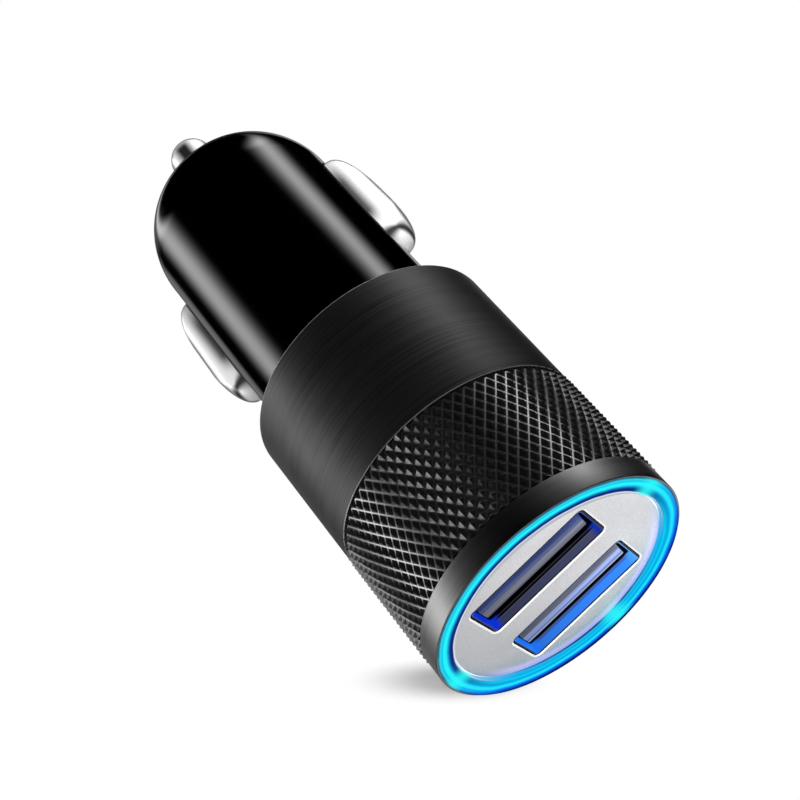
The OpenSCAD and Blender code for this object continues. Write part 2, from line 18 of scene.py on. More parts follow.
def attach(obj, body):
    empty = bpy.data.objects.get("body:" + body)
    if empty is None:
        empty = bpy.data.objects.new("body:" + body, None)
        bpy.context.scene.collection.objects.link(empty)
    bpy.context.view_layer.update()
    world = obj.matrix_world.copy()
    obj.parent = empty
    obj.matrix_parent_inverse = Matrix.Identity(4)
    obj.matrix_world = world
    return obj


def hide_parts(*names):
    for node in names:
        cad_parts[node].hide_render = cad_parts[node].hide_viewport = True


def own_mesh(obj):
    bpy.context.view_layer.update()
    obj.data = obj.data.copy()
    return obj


MM = 0.001
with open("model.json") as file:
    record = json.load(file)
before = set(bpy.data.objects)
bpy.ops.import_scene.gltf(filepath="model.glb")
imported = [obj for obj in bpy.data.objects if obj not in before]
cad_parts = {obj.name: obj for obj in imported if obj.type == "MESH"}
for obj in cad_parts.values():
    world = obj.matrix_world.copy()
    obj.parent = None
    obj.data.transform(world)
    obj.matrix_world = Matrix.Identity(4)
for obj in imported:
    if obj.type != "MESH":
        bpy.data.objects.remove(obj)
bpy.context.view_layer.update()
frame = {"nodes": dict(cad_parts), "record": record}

# %% [markdown]
# ## Camera
#
# The camera stands where the photo's perspective puts it, a little in front of the face and to one side.
# Its three axes are written as the columns of its matrix: right, up and backwards.

# %% Place the camera
CAMERA_PLACE = Vector((15.70, -130.00, -63.48))
CAMERA_RIGHT = Vector((0.70951, 0.45702, -0.53641))
CAMERA_UP = Vector((0.69783, -0.34961, 0.62515))
CAMERA_AHEAD = Vector((-0.09817, 0.81788, 0.56697))


def matrix_of(right, up, back, place):
    """A matrix from three axes and a place."""
    rows = [[right[k], up[k], back[k], place[k]] for k in range(3)]
    return Matrix(rows + [[0, 0, 0, 1]])


def linked(name, data):
    """An object put into the scene."""
    thing = bpy.data.objects.new(name, data)
    bpy.context.scene.collection.objects.link(thing)
    return thing


camera_data = bpy.data.cameras.new("photo_camera")
camera_data.lens = 74.70
camera_data.sensor_width = 36
camera_data.clip_start = 0.005
camera_data.clip_end = 10
camera = linked("photo_camera", camera_data)
camera.matrix_world = matrix_of(CAMERA_RIGHT, CAMERA_UP, -CAMERA_AHEAD, CAMERA_PLACE * MM)
bpy.context.scene.camera = camera
bpy.context.scene.view_settings.view_transform = "Standard"
print("camera at", [round(v, 4) for v in camera.location])

# %% [markdown]
# ## The frame's measures
#
# The named lengths repeat those that the CAD part was made with, so that each finished piece lies where its
# solid does.

# %% Name the measures
SLEEVE_R, LIP_R, BORE_R, BED_R = 13.0, 12.8, 11.7, 12.6
CUP_R, CUP_IN_R = 11.65, 10.4
RING_R, PLATE_EDGE_R, PLATE_R = 12.77, 11.12, 11.09
BARREL_R, BARREL_IN_R = 10.36, 8.91
TIP_R, Z_SEAT, TIP_TRAVEL = 2.4, 52.8, 4.0
Z_LIP, Z_PLATE, Z_SHELL, Z_SHELF, Z_FOOT = 0.45, 0.8, 0.9, 1.8, 2.8
Z_RIM_END, Z_KNURL_END = 3.0, 15.4
Z_BOARD, Z_BOARD_BACK = 15.6, 17.2
Z_SHOULDER, Z_SLEEVE_END = 29.7, 30.9
Z_NOSE, Z_NOSE_END, Z_FLANGE, Z_SPRING_TOP, Z_TIP = 55.65, 64.0, 62.4, 61.2, 71.4
PORT_Y, SHELL_W, SHELL_H, SHELL_WALL, SHELL_CORNER = 4.49, 13.1, 5.7, 0.3, 0.6
WING_MID_Z, WING_LEN, WING_W = 46.55, 15.1, 4.3
TONGUE_Y, TONGUE_T, TONGUE_W, Z_TONGUE, Z_TONGUE_BASE = -0.91, 1.84, 11.7, 1.0, 10.6
print("barrel radius", BARREL_R, "sleeve radius", SLEEVE_R)

# %% [markdown]
# ## Making meshes
#
# Most of the charger is turned on a lathe, so one helper spins a profile round the Z axis. Sharp corners
# catch no light, so corners are rounded first, as the tool and the polishing leave them on the real piece.
# Merging the doubles closes the seam and the poles, and the normals are recalculated afterwards.

# %% Write the mesh helpers
TURN_STEPS, FINE_STEPS = 192, 256
WELD, SLIVER = 0.002 * MM, 0.0005 * MM


def new_piece(name, points, faces, sharp=32):
    """An object from points in millimetres, with its faces outward and its edges sharp past an angle."""
    mesh = bpy.data.meshes.new(name)
    mesh.from_pydata([[c * MM for c in p] for p in points], [], faces)
    clean_mesh(mesh, sharp)
    return linked(name, mesh)


def clean_mesh(mesh, sharp=32):
    """Merges doubles, turns faces outward and shades smooth with sharp edges past an angle."""
    work = bmesh.new()
    work.from_mesh(mesh)
    bmesh.ops.remove_doubles(work, verts=work.verts, dist=WELD)
    bmesh.ops.dissolve_degenerate(work, edges=work.edges, dist=SLIVER)
    bmesh.ops.recalc_face_normals(work, faces=work.faces)
    work.to_mesh(mesh)
    work.free()
    mesh.shade_smooth()
    mesh.set_sharp_from_angle(angle=math.radians(sharp))
    for face in mesh.polygons:
        if abs(face.normal.z) > 0.9999:
            face.use_smooth = False


def rounded(corners, steps=4):
    """A profile of [radius, z, rounding] corners as points, each rounding a short curve."""
    out = []
    count = len(corners)
    for k, (r, z, rounding) in enumerate(corners):
        here = Vector((r, z))
        if not rounding:
            out.append((r, z))
            continue
        before = Vector(corners[k - 1][:2]) - here
        after = Vector(corners[(k + 1) % count][:2]) - here
        reach = min(rounding, before.length * 0.45, after.length * 0.45)
        first, last = here + before.normalized() * reach, here + after.normalized() * reach
        for i in range(steps + 1):
            t = i / steps
            p = first * (1 - t) ** 2 + here * 2 * t * (1 - t) + last * t**2
            out.append((p.x, p.y))
    return out


def turned(name, profile, steps=TURN_STEPS, sharp=32):
    """A piece turned on the lathe: a closed profile of (radius, z) points spun round Z."""
    points, faces = [], []
    count = len(profile)
    for i in range(steps):
        a = 2 * math.pi * i / steps
        points += [(r * math.cos(a), r * math.sin(a), z) for r, z in profile]
    for i in range(steps):
        for k in range(count):
            a, b = i * count + k, i * count + (k + 1) % count
            c, d = (i + 1) % steps * count + (k + 1) % count, (i + 1) % steps * count + k
            if max(profile[k][0], profile[(k + 1) % count][0]) > 0:
                faces.append((a, b, c, d))
    return new_piece(name, points, faces, sharp)


def stacked(name, rings, joined=False, sharp=32):
    """A piece made of rings of points, one after another, with its ends capped or joined to each other."""
    count = len(rings[0])
    points = [p for ring in rings for p in ring]
    faces = []
    last = len(rings) if joined else len(rings) - 1
    for j in range(last):
        for k in range(count):
            m, n = (k + 1) % count, (j + 1) % len(rings)
            faces.append((j * count + k, j * count + m, n * count + m, n * count + k))
    if not joined:
        faces.append(tuple(range(count))[::-1])
        faces.append(tuple(range((len(rings) - 1) * count, len(rings) * count)))
    return new_piece(name, points, faces, sharp)


def rounded_rect(width, height, corner, steps=8):
    """Points round a rectangle with rounded corners, in the XY plane."""
    out = []
    for cx, cy, start in ((1, 1, 0), (-1, 1, 90), (-1, -1, 180), (1, -1, 270)):
        for i in range(steps + 1):
            a = math.radians(start + 90 * i / steps)
            out.append((cx * (width / 2 - corner) + corner * math.cos(a),
                        cy * (height / 2 - corner) + corner * math.sin(a)))
    return out


print("turning and stacking ready;", TURN_STEPS, "steps round a turned piece")

# %% [markdown]
# The next helpers work on whole pieces. They give a piece its materials, put several shells into one, and
# cut the shape of one piece out of another.

# %% Write the helpers for whole pieces


def dressed(piece, *finishes):
    """The piece with the given materials and no others."""
    piece.data.materials.clear()
    for finish in finishes:
        piece.data.materials.append(finish)
    return piece


def joined(name, pieces, sharp=32):
    """One object from several, each left as its own closed shell."""
    work = bmesh.new()
    for piece in pieces:
        work.from_mesh(piece.data)
        bpy.data.objects.remove(piece)
    mesh = bpy.data.meshes.new(name)
    work.to_mesh(mesh)
    work.free()
    mesh.shade_smooth()
    mesh.set_sharp_from_angle(angle=math.radians(sharp))
    return linked(name, mesh)


def box_piece(name, low, high):
    """A plain block between two corners, for legs and tabs."""
    corners = [(low[0], low[1]), (high[0], low[1]), (high[0], high[1]), (low[0], high[1])]
    return stacked(name, [[(x, y, z) for x, y in corners] for z in (low[2], high[2])])


def baked(piece, sharp=32):
    """The piece with its modifiers made part of a plain mesh."""
    graph = bpy.context.evaluated_depsgraph_get()
    graph.update()
    mesh = bpy.data.meshes.new_from_object(piece.evaluated_get(graph))
    piece.modifiers.clear()
    piece.data = mesh
    clean_mesh(mesh, sharp)
    return piece


def cut_by(piece, cutters, sharp=32):
    """The piece with the shapes of other pieces cut out of it."""
    for cutter in cutters:
        cut = piece.modifiers.new("cut", "BOOLEAN")
        cut.operation, cut.solver, cut.object = "DIFFERENCE", "EXACT", cutter
    baked(piece, sharp)
    for cutter in cutters:
        bpy.data.objects.remove(cutter)
    return piece


print("helpers for whole pieces ready")

# %% [markdown]
# ## Values in node trees
#
# Shaders and Geometry Nodes both pass values from node to node. The small class below lets such values be
# added, multiplied and compared as numbers are, and each of these steps becomes a Math node.

# %% Write the node helpers


def add(tree, kind, links=None, **settings):
    """A node with its settings, and its inputs set to values or linked to other sockets."""
    node = tree.nodes.new(kind)
    for key, value in settings.items():
        setattr(node, key, value)
    for key, value in (links or {}).items():
        value = getattr(value, "socket", value)
        if isinstance(value, bpy.types.NodeSocket):
            tree.links.new(value, node.inputs[key])
        else:
            node.inputs[key].default_value = value
    return node


def math_node(tree, operation, *values):
    """The result of a Math node."""
    return Term(add(tree, "ShaderNodeMath", dict(enumerate(values)), operation=operation).outputs[0])


class Term:
    """The value of a socket, which can be part of a sum."""

    def __init__(self, socket):
        self.socket, self.tree = socket, socket.id_data

    def math(self, operation, *others):
        """The result of a Math node that starts from this value."""
        return math_node(self.tree, operation, self, *others)

    def ramp(self, low, high, out_low=0.0, out_high=1.0, smooth=True):
        """The value moved from one range to another, and held at both ends."""
        links = {"Value": self, "From Min": low, "From Max": high, "To Min": out_low, "To Max": out_high}
        kind = "SMOOTHSTEP" if smooth else "LINEAR"
        node = add(self.tree, "ShaderNodeMapRange", links, interpolation_type=kind, clamp=True)
        return Term(node.outputs["Result"])

    def __add__(self, other):
        return self.math("ADD", other)

    def __sub__(self, other):
        return self.math("SUBTRACT", other)

    def __rsub__(self, other):
        return math_node(self.tree, "SUBTRACT", other, self)

    def __mul__(self, other):
        return self.math("MULTIPLY", other)

    def __truediv__(self, other):
        return self.math("DIVIDE", other)

    def __rtruediv__(self, other):
        return math_node(self.tree, "DIVIDE", other, self)

    def __abs__(self):
        return self.math("ABSOLUTE")

    def most(self, other):
        return self.math("MAXIMUM", other)

    def least(self, other):
        return self.math("MINIMUM", other)


def vector_math(operation, vector, *others, **links):
    """The result of a Vector Math node: a vector, or a value for a length or a dot product."""
    links = {**dict(enumerate((vector, *others))), **links}
    outputs = add(vector.tree, "ShaderNodeVectorMath", links, operation=operation).outputs
    return Term(outputs["Value" if operation in ("LENGTH", "DOT_PRODUCT") else "Vector"])


def scaled(vector, factor):
    """A vector or a colour times a value."""
    return vector_math("SCALE", vector, Scale=factor)


def combined(tree, x=0.0, y=0.0, z=0.0):
    """A vector from its three values."""
    return Term(add(tree, "ShaderNodeCombineXYZ", {0: x, 1: y, 2: z}).outputs[0])


def split(vector):
    """The X, Y and Z of a vector."""
    return [Term(socket) for socket in add(vector.tree, "ShaderNodeSeparateXYZ", {0: vector}).outputs]


def object_mm(tree):
    """The point's Object coordinates in millimetres."""
    return scaled(Term(add(tree, "ShaderNodeTexCoord").outputs["Object"]), 1000.0)


def noise(vector, scale, detail, roughness=0.5):
    """A cloudy pattern."""
    links = {"Vector": vector, "Scale": scale, "Detail": detail, "Roughness": roughness}
    return Term(add(vector.tree, "ShaderNodeTexNoise", links).outputs["Fac"])


def feed(node, **terms):
    """Links values to a node's inputs, which are named with underscores for spaces."""
    for key, term in terms.items():
        term.tree.links.new(term.socket, node.inputs[key.replace("_", " ")])


print("node helpers ready")

# %% [markdown]
# ## Shader groups
#
# Three small node groups hold the effects that several materials share. Turning lines are the fine rings
# that a lathe tool leaves. Fine grain is the even speckle of bead blasting and moulding. Handling is a
# faint cloudy change of gloss where fingers have been. Each group reads the piece's own Object coordinates,
# in millimetres.

# %% Build the shared shader groups


def new_group(name, inputs, outputs):
    """A shader node group, the values given to it, and the node that takes its results."""
    group = bpy.data.node_groups.new(name, "ShaderNodeTree")
    for label, default in inputs.items():
        socket = group.interface.new_socket(name=label, in_out="INPUT", socket_type="NodeSocketFloat")
        socket.default_value = default
    for label in outputs:
        group.interface.new_socket(name=label, in_out="OUTPUT", socket_type="NodeSocketFloat")
    source = group.nodes.new("NodeGroupInput").outputs
    return group, [Term(source[label]) for label in inputs], group.nodes.new("NodeGroupOutput")


turning_lines, (per_mm, length), result = new_group(
    "turning_lines", {"Lines Per Millimetre": 6.0, "Length": 0.05}, ["Mask", "Broad"])
x, y, z = split(object_mm(turning_lines))
stretched = combined(turning_lines, x * length, y * length, z * per_mm)
feed(result, Mask=noise(stretched, 1.0, 3.0, 0.7).ramp(0.38, 0.54),
     Broad=noise(scaled(stretched, 0.22), 1.0, 1.0).ramp(0.35, 0.65))

fine_grain, (per_mm,), result = new_group("fine_grain", {"Grains Per Millimetre": 8.0}, ["Mask"])
feed(result, Mask=noise(object_mm(fine_grain), per_mm, 2.0).ramp(0.3, 0.7))

handling, (patch,), result = new_group("handling", {"Patch Size": 6.0}, ["Mask"])
feed(result, Mask=noise(object_mm(handling), 1.0 / patch, 4.0, 0.6).ramp(0.35, 0.7))
print("groups:", [group.name for group in bpy.data.node_groups])

# %% [markdown]
# ## Materials
#
# Each finish is a Principled shader with its constants on its own sockets. The groups above drive only what
# changes over the surface: colour, roughness and a little bump.

# %% Write the material helpers


def new_material(name, **settings):
    """A material with a Principled shader, whose sockets are set by name with underscores for spaces."""
    material = bpy.data.materials.new(name)
    material.use_nodes = True
    shader = material.node_tree.nodes["Principled BSDF"]
    for key, value in settings.items():
        value = (*value, 1.0) if isinstance(value, tuple) else value
        shader.inputs[key.replace("_", " ")].default_value = value
    return material, material.node_tree, shader


def placed(tree, group, **settings):
    """The results of a placed group, with its inputs set by name."""
    node = add(tree, "ShaderNodeGroup", node_tree=group)
    for key, value in settings.items():
        node.inputs[key.replace("_", " ")].default_value = value
    return [Term(socket) for socket in node.outputs]


def grains(tree, per_mm):
    """The fine grain of a surface."""
    return placed(tree, fine_grain, Grains_Per_Millimetre=per_mm)[0]


def clouds(tree, size):
    """The cloudy marks of handling."""
    return placed(tree, handling, Patch_Size=size)[0]


def facing(tree):
    """0 where the surface faces the viewer and 1 where it is seen edge on."""
    return Term(add(tree, "ShaderNodeLayerWeight", {"Blend": 0.5}).outputs["Facing"])


def mixed(factor, first, second):
    """A colour between two others, each a tuple or a value."""
    first, second = [(*c, 1.0) if isinstance(c, tuple) else c for c in (first, second)]
    links = {"Factor": factor, "A": first, "B": second}
    return Term(add(factor.tree, "ShaderNodeMix", links, data_type="RGBA").outputs["Result"])


def bump(shader, height, distance):
    """Feeds a height, whose full step is a distance in millimetres, into the shader's normal."""
    feed(shader, Normal=Term(add(height.tree, "ShaderNodeBump", {
        "Height": height, "Distance": distance * MM, "Strength": 1.0}).outputs["Normal"]))


def varied(name, dark, light, rough, grain=8.0, bump_mm=0.004, **settings):
    """A finish whose colour follows a fine grain, and whose roughness follows handling."""
    material, tree, shader = new_material(name, **settings)
    speckle = grains(tree, grain)
    feed(shader, Base_Color=mixed(speckle, dark, light), Roughness=clouds(tree, 6.0).ramp(0.0, 1.0, *rough))
    bump(shader, speckle, bump_mm)
    return material


print("material helpers ready")

# %% [markdown]
# ## Black metal
#
# The sleeve is black anodised aluminium. Its rim is satin, its plain band shows the turning lines, its
# knurl is lighter in the flat grooves than on the diamonds, and the band's two edges carry a painted
# highlight: a lighter metal where the light catches them. A metal shader with a dark colour gives the broad
# grey sheen of anodising. A metallic value just under 1 adds the little light that the dyed oxide scatters.

# %% Make the black metals


def anodised(name, dark, light, rough, lines, depth, length=0.03, metallic=1.0):
    """Black anodised metal with turning lines."""
    material, tree, shader = new_material(name, Metallic=metallic)
    fine, broad = placed(tree, turning_lines, Lines_Per_Millimetre=lines, Length=length)
    both = broad * 0.15 + fine * 0.85
    feed(shader, Base_Color=mixed(both, (dark,) * 3, (light,) * 3),
         Roughness=both.ramp(0.0, 1.0, *rough) + clouds(tree, 5.0) * 0.04)
    bump(shader, both, depth)
    return material


rim_metal = anodised("rim_metal", 0.22, 0.27, (0.36, 0.40), 3.0, 0.0006)
band_metal = anodised("band_metal", 0.047, 0.085, (0.44, 0.49), 8.0, 0.0015, 0.06, 0.95)
# The band's two edges: a lighter metal that is a painted highlight where the light catches them.
painted_band_edge_highlight = anodised("painted_band_edge_highlight", 0.55, 0.65, (0.50, 0.55), 3.0, 0.0006, metallic=0.9)

knurl_metal, tree, shader = new_material("knurl_metal", Metallic=0.975)
x, y, z = split(object_mm(tree))
in_groove = (x * x + y * y).math("SQRT").ramp(12.77, 12.81, 1.0, 0.0)
speckle = grains(tree, 10.0)
feed(shader, Base_Color=mixed(in_groove, (0.12,) * 3, (0.31,) * 3),
     Roughness=speckle.ramp(0.0, 1.0, 0.28, 0.40))
bump(shader, speckle, 0.003)
print("black metals made")

# %% [markdown]
# ## Chrome
#
# The chrome in the photo is nearly white with soft dark shapes in it, as polished metal shows a bright room
# with a few dark things. Each shape is a painted reflection, written as a mask over the piece, and the wall
# round the wing's foot gets painted shade. A painted dark line follows every edge that is seen edge on,
# which sets the white pieces off from the white ground.

# %% Make the chrome


def chrome_with_painted_reflections(name, painted_dark_of):
    """Bright plating with painted reflections: white where it faces the viewer, with the dark shapes of the
    room painted in it and a painted dark line where it is seen edge on.
    """
    material, tree, shader = new_material(name, Metallic=0.1, Coat_Weight=0.3, Coat_Roughness=0.15)
    # Painted reflections of the room, and a painted dark line where the surface is seen edge on.
    dark = painted_dark_of(*split(object_mm(tree))).most(facing(tree).ramp(0.52, 0.86, 0.0, 0.90))
    feed(shader, Base_Color=mixed(dark, (0.98, 0.98, 0.99), (0.015, 0.015, 0.017)),
         Roughness=clouds(tree, 6.0).ramp(0.0, 1.0, 0.30, 0.36))
    return material


def wing_painted_dark(x, y, z):
    """Painted reflections: a grey streak along the wing's foot and a black hourglass across its end near the
    sleeve, with painted shade on the wall sunk in the slot.
    """
    middle = z.ramp(41.8, 44.5) * z.ramp(49.0, 53.8, 1.0, 0.2)
    foot = abs(x).ramp(10.35, 11.7, 0.93, 0.0) * middle
    # Painted shade where the wing's wall sinks into the slot.
    sunk = abs(x).ramp(10.2, 10.35, 1.0, 0.0)
    off = abs(y * 0.3 + z - 39.9)
    waist = abs(abs(x).ramp(10.13, 12.6, -1.0, 1.0, smooth=False)) * 0.9 + 0.45
    return foot.most((off / waist).ramp(0.1, 1.0, 0.97, 0.0)).most(sunk)


def tip_painted_dark(x, y, z):
    """A painted reflection: a black core on the side that faces the dark front of the room."""
    core = y.ramp(-2.3, -0.9, 1.0, 0.0) * abs(x - 0.2).ramp(0.3, 1.6, 1.0, 0.0)
    return core * z.ramp(69.0, 71.2, 1.0, 0.0)


chrome_wing = chrome_with_painted_reflections("chrome_wing", wing_painted_dark)
chrome_tip = chrome_with_painted_reflections("chrome_tip", tip_painted_dark)
print("chrome made")

# %% [markdown]
# ## Gloss black, the plate and the inner parts
#
# The barrel is deep black under a clear coat, which carries all of its reflections and fades where it is
# seen edge on. The face plate is blasted aluminium, painted a little lighter to one side, with the ring's
# light painted on its far edge as a glow. The inner parts carry plain finishes of their kind.

# %% Make the other finishes
gloss_black, tree, shader = new_material("gloss_black", Base_Color=(0.0, 0.0, 0.0), Specular_IOR_Level=0.0)
feed(shader, Coat_Roughness=clouds(tree, 9.0).ramp(0.0, 1.0, 0.085, 0.11),
     Coat_Weight=facing(tree).ramp(0.84, 0.97, 1.0, 0.05))

satin_silver = varied("satin_silver", (0.62, 0.62, 0.64), (0.80, 0.80, 0.82), (0.36, 0.42), grain=11.0,
                      bump_mm=0.006, Metallic=1.0, Emission_Strength=1.0)
tree, shader = satin_silver.node_tree, satin_silver.node_tree.nodes["Principled BSDF"]
x, y, z = split(object_mm(tree))
plain = Term(shader.inputs["Base Color"].links[0].from_socket)
# Painted light: the ring's glow on the plate's far edge, and the plate painted lighter toward one side.
near_ring = vector_math("LENGTH", object_mm(tree)).ramp(9.7, 10.5) * y.ramp(1.0, 7.0)
feed(shader, Base_Color=scaled(plain, (y * -0.3 + x).ramp(-11.0, 11.0, 0.80, 1.22)),
     Emission_Color=mixed(near_ring, (0.0, 0.0, 0.0), (0.30, 0.16, 0.40)))

# The broken edges round the windows glow white: a painted highlight.
painted_edge_highlight = varied("painted_edge_highlight", (0.85, 0.85, 0.87), (0.95, 0.95, 0.97), (0.3, 0.4), Metallic=0.6,
                     Emission_Color=(0.8, 0.8, 0.82), Emission_Strength=0.75)
# The plate's outer broken edge glows: a painted highlight, white on the near side and dark blue on the far
# side.
plate_rim_painted_glow, tree, shader = new_material("plate_rim_painted_glow", Base_Color=(0.8, 0.8, 0.82), Metallic=1.0, Roughness=0.35,
                                       Emission_Strength=0.9)
near_side = split(object_mm(tree))[1].ramp(1.0, 6.0, 1.0, 0.0)
feed(shader, Emission_Color=mixed(near_side, (0.0, 0.01, 0.05), (0.85, 0.88, 0.95)))

INNER = {
    # finish: darker colour, lighter colour, roughness, metallic
    "black_plastic": ((0.015,) * 3, (0.03,) * 3, (0.45, 0.6), 0.0),
    "board_green": ((0.01, 0.12, 0.04), (0.02, 0.2, 0.07), (0.3, 0.4), 0.0),
    "lamp_white": ((0.8, 0.8, 0.6), (0.9, 0.9, 0.75), (0.2, 0.3), 0.0),
    "ferrite": ((0.03,) * 3, (0.07,) * 3, (0.5, 0.7), 0.0),
    "copper_wire": ((0.5, 0.18, 0.05), (0.7, 0.3, 0.1), (0.2, 0.35), 1.0),
    "can_metal": ((0.6,) * 3, (0.75,) * 3, (0.25, 0.35), 1.0),
    "chip_black": ((0.012,) * 3, (0.025,) * 3, (0.4, 0.6), 0.0),
    "ceramic": ((0.7, 0.68, 0.6), (0.8, 0.78, 0.7), (0.3, 0.45), 0.0),
    "brass": ((0.65, 0.45, 0.18), (0.8, 0.6, 0.3), (0.2, 0.35), 1.0),
    "gold_contact": ((0.75, 0.52, 0.2), (0.85, 0.65, 0.3), (0.2, 0.3), 1.0),
    "spring_steel": ((0.5,) * 3, (0.65,) * 3, (0.25, 0.35), 1.0),
}
FINISHES = {name: varied(name, dark, light, rough, Metallic=metallic)
            for name, (dark, light, rough, metallic) in INNER.items()}
print(len(FINISHES), "finishes for the inner parts")

# %% [markdown]
# ## Light in the ring
#
# The light ring is clear plastic that glows from the lamps behind it. Its colour changes across its width,
# from deep blue at the edges to bright cyan between, which is painted light and shade of its rounded
# profile, and differently on the near side and the far side. On the near side its inner slope holds a
# painted grey reflection of the plate with a white line. Three spots over the lamps are brighter. The lines
# lie deep in the clear plastic, so they are read in the plane of its lip.

# %% Make the glowing ring


def colour_ramp(value, stops):
    """A colour that follows a value from 0 to 1 through stops of (place, red, green, blue)."""
    node = add(value.tree, "ShaderNodeValToRGB", {0: value})
    band = node.color_ramp
    while len(band.elements) < len(stops):
        band.elements.new(0.5)
    for element, (place, *colour) in zip(band.elements, stops):
        element.position, element.color = place, (*colour, 1)
    return Term(node.outputs["Color"])


# Painted light and shade across the ring's profile; on the near side the first two stops are a painted
# reflection of the plate and its white edge.
NEAR_SIDE = [
    (0.23, 0.50, 0.52, 0.57), (0.27, 0.80, 0.86, 0.95), (0.30, 0.05, 0.08, 0.30),
    (0.33, 0.004, 0.01, 0.12), (0.41, 0.003, 0.05, 0.27), (0.48, 0.012, 0.34, 0.64),
    (0.55, 0.02, 0.90, 0.97), (0.64, 0.02, 0.93, 0.97), (0.70, 0.01, 0.52, 0.82),
    (0.77, 0.03, 0.72, 0.88), (0.85, 0.02, 0.16, 0.25), (0.93, 0.0, 0.005, 0.01)]
FAR_SIDE = [
    (0.02, 0.0, 0.03, 0.13), (0.10, 0.02, 0.44, 0.80), (0.20, 0.01, 0.46, 0.86),
    (0.27, 0.0, 0.40, 0.75), (0.34, 0.005, 0.68, 0.91), (0.41, 0.003, 0.44, 0.83),
    (0.49, 0.002, 0.38, 0.79), (0.55, 0.01, 0.72, 0.95), (0.63, 0.02, 0.80, 0.99),
    (0.70, 0.01, 0.35, 0.93), (0.77, 0.003, 0.14, 0.75), (0.85, 0.004, 0.05, 0.48),
    (0.93, 0.0, 0.012, 0.12), (1.0, 0.0, 0.004, 0.06)]
LAMPS_AT, VIEW_SHEAR = (-12.0, 85.0, 185.0), (0.244, -2.02)

ring_glow, tree, shader = new_material("ring_glow", Base_Color=(0.0, 0.0, 0.01), Roughness=0.25,
                                       Specular_IOR_Level=0.0, Emission_Strength=1.0)
x, y, z = split(object_mm(tree))
ring_x, ring_y = (z - Z_LIP) * VIEW_SHEAR[0] + x, (z - Z_LIP) * VIEW_SHEAR[1] + y
ring_radius = (ring_y * ring_y + ring_x * ring_x).math("SQRT")
across = (clouds(tree, 5.0) * 0.10 + ring_radius).ramp(10.40, 13.20, smooth=False)
glow = mixed(ring_y.ramp(-5.0, 7.0), colour_ramp(across, NEAR_SIDE), colour_ramp(across, FAR_SIDE))
turn = ring_y.math("ARCTAN2", ring_x).math("DEGREES")
spots = [abs((turn - at).math("WRAP", 180.0, -180.0)).ramp(0.0, 10.0, 0.8, 0.0) for at in LAMPS_AT]
over_lamp = spots[0].most(spots[1]).most(spots[2]) * ring_radius.ramp(12.65, 12.95, 1.0, 0.0)
feed(shader, Emission_Color=mixed(over_lamp, glow, (0.03, 0.97, 0.96)))
print("ring made")

# %% [markdown]
# ## Light in the sockets
#
# The tongues are clear plastic that glows with painted light, and their front ends show fine painted lines
# of light and shade across their thickness. The shells round them carry painted light only on the inside,
# with painted dark bands of shade, and it changes with the depth and toward the ends. Both are brighter in
# the second socket, and a little brighter to the right.

# %% Make the finishes of the sockets


def tongue_plastic_painted_glow(name, middle_y, top, stops):
    """Clear plastic that glows with painted light, whose colour, with painted lines of light and shade,
    follows the tongue's thickness at its front end; the painted light fades deeper in and grows toward the
    right.
    """
    material, tree, shader = new_material(name, Base_Color=(0.01, 0.01, 0.02), Roughness=0.35,
                                          Specular_IOR_Level=0.1, Emission_Strength=1.0)
    x, y, z = split(object_mm(tree))
    drawn = noise(combined(tree, x * 0.08, y * 5.0), 1.0, 2.0).ramp(0.3, 0.7, 0.6, 1.15)
    across = y.ramp(middle_y - TONGUE_T / 2, middle_y + TONGUE_T / 2, smooth=False)
    # Painted light on the front face, with painted lines of light and shade across the thickness.
    end_face = z.ramp(Z_TONGUE + 0.1, Z_TONGUE + 0.16, 1.0, 0.0)
    # Painted shade deeper in, and painted light growing toward the right.
    deep = z.ramp(Z_TONGUE + 0.8, Z_TONGUE + 3.0, 1.0, 0.05)
    level = x.ramp(-6.0, 6.0, 0.7, 1.35, smooth=False) * deep * drawn
    feed(shader, Emission_Color=scaled(mixed(end_face, top, colour_ramp(across, stops)), level))
    bump(shader, grains(tree, 6.0), 0.003)
    return material


def shell_plating_painted_light(name, middle_y, stops, left, right):
    """Plated sheet with painted light on its inside only: long walls whose painted light and shade follow the
    depth, and bright blue ends of painted light.
    """
    material, tree, shader = new_material(name, Base_Color=(0.01, 0.01, 0.02), Metallic=1.0,
                                          Emission_Strength=1.0)
    x, y, z = split(object_mm(tree))
    # Painted light and shade along the walls by depth, brighter toward the right, painted blue light at the
    # ends; only the inside faces glow.
    by_depth = colour_ramp(z.ramp(0.8, 2.3, smooth=False), stops)
    wall = scaled(by_depth, x.ramp(-6.0, 6.0, 0.75, 1.3, smooth=False))
    ends = scaled(mixed(x.ramp(-6.3, 6.3), left, right), z.ramp(1.9, 2.1, 1.0, 0.0))
    inside = abs(x).ramp(6.3, 6.38, 1.0, 0.0) * abs(y - middle_y).ramp(2.6, 2.68, 1.0, 0.0)
    feed(shader, Emission_Color=scaled(mixed(abs(x).ramp(5.2, 6.1), wall, ends), inside),
         Roughness=clouds(tree, 4.0).ramp(0.0, 1.0, 0.25, 0.35))
    return material


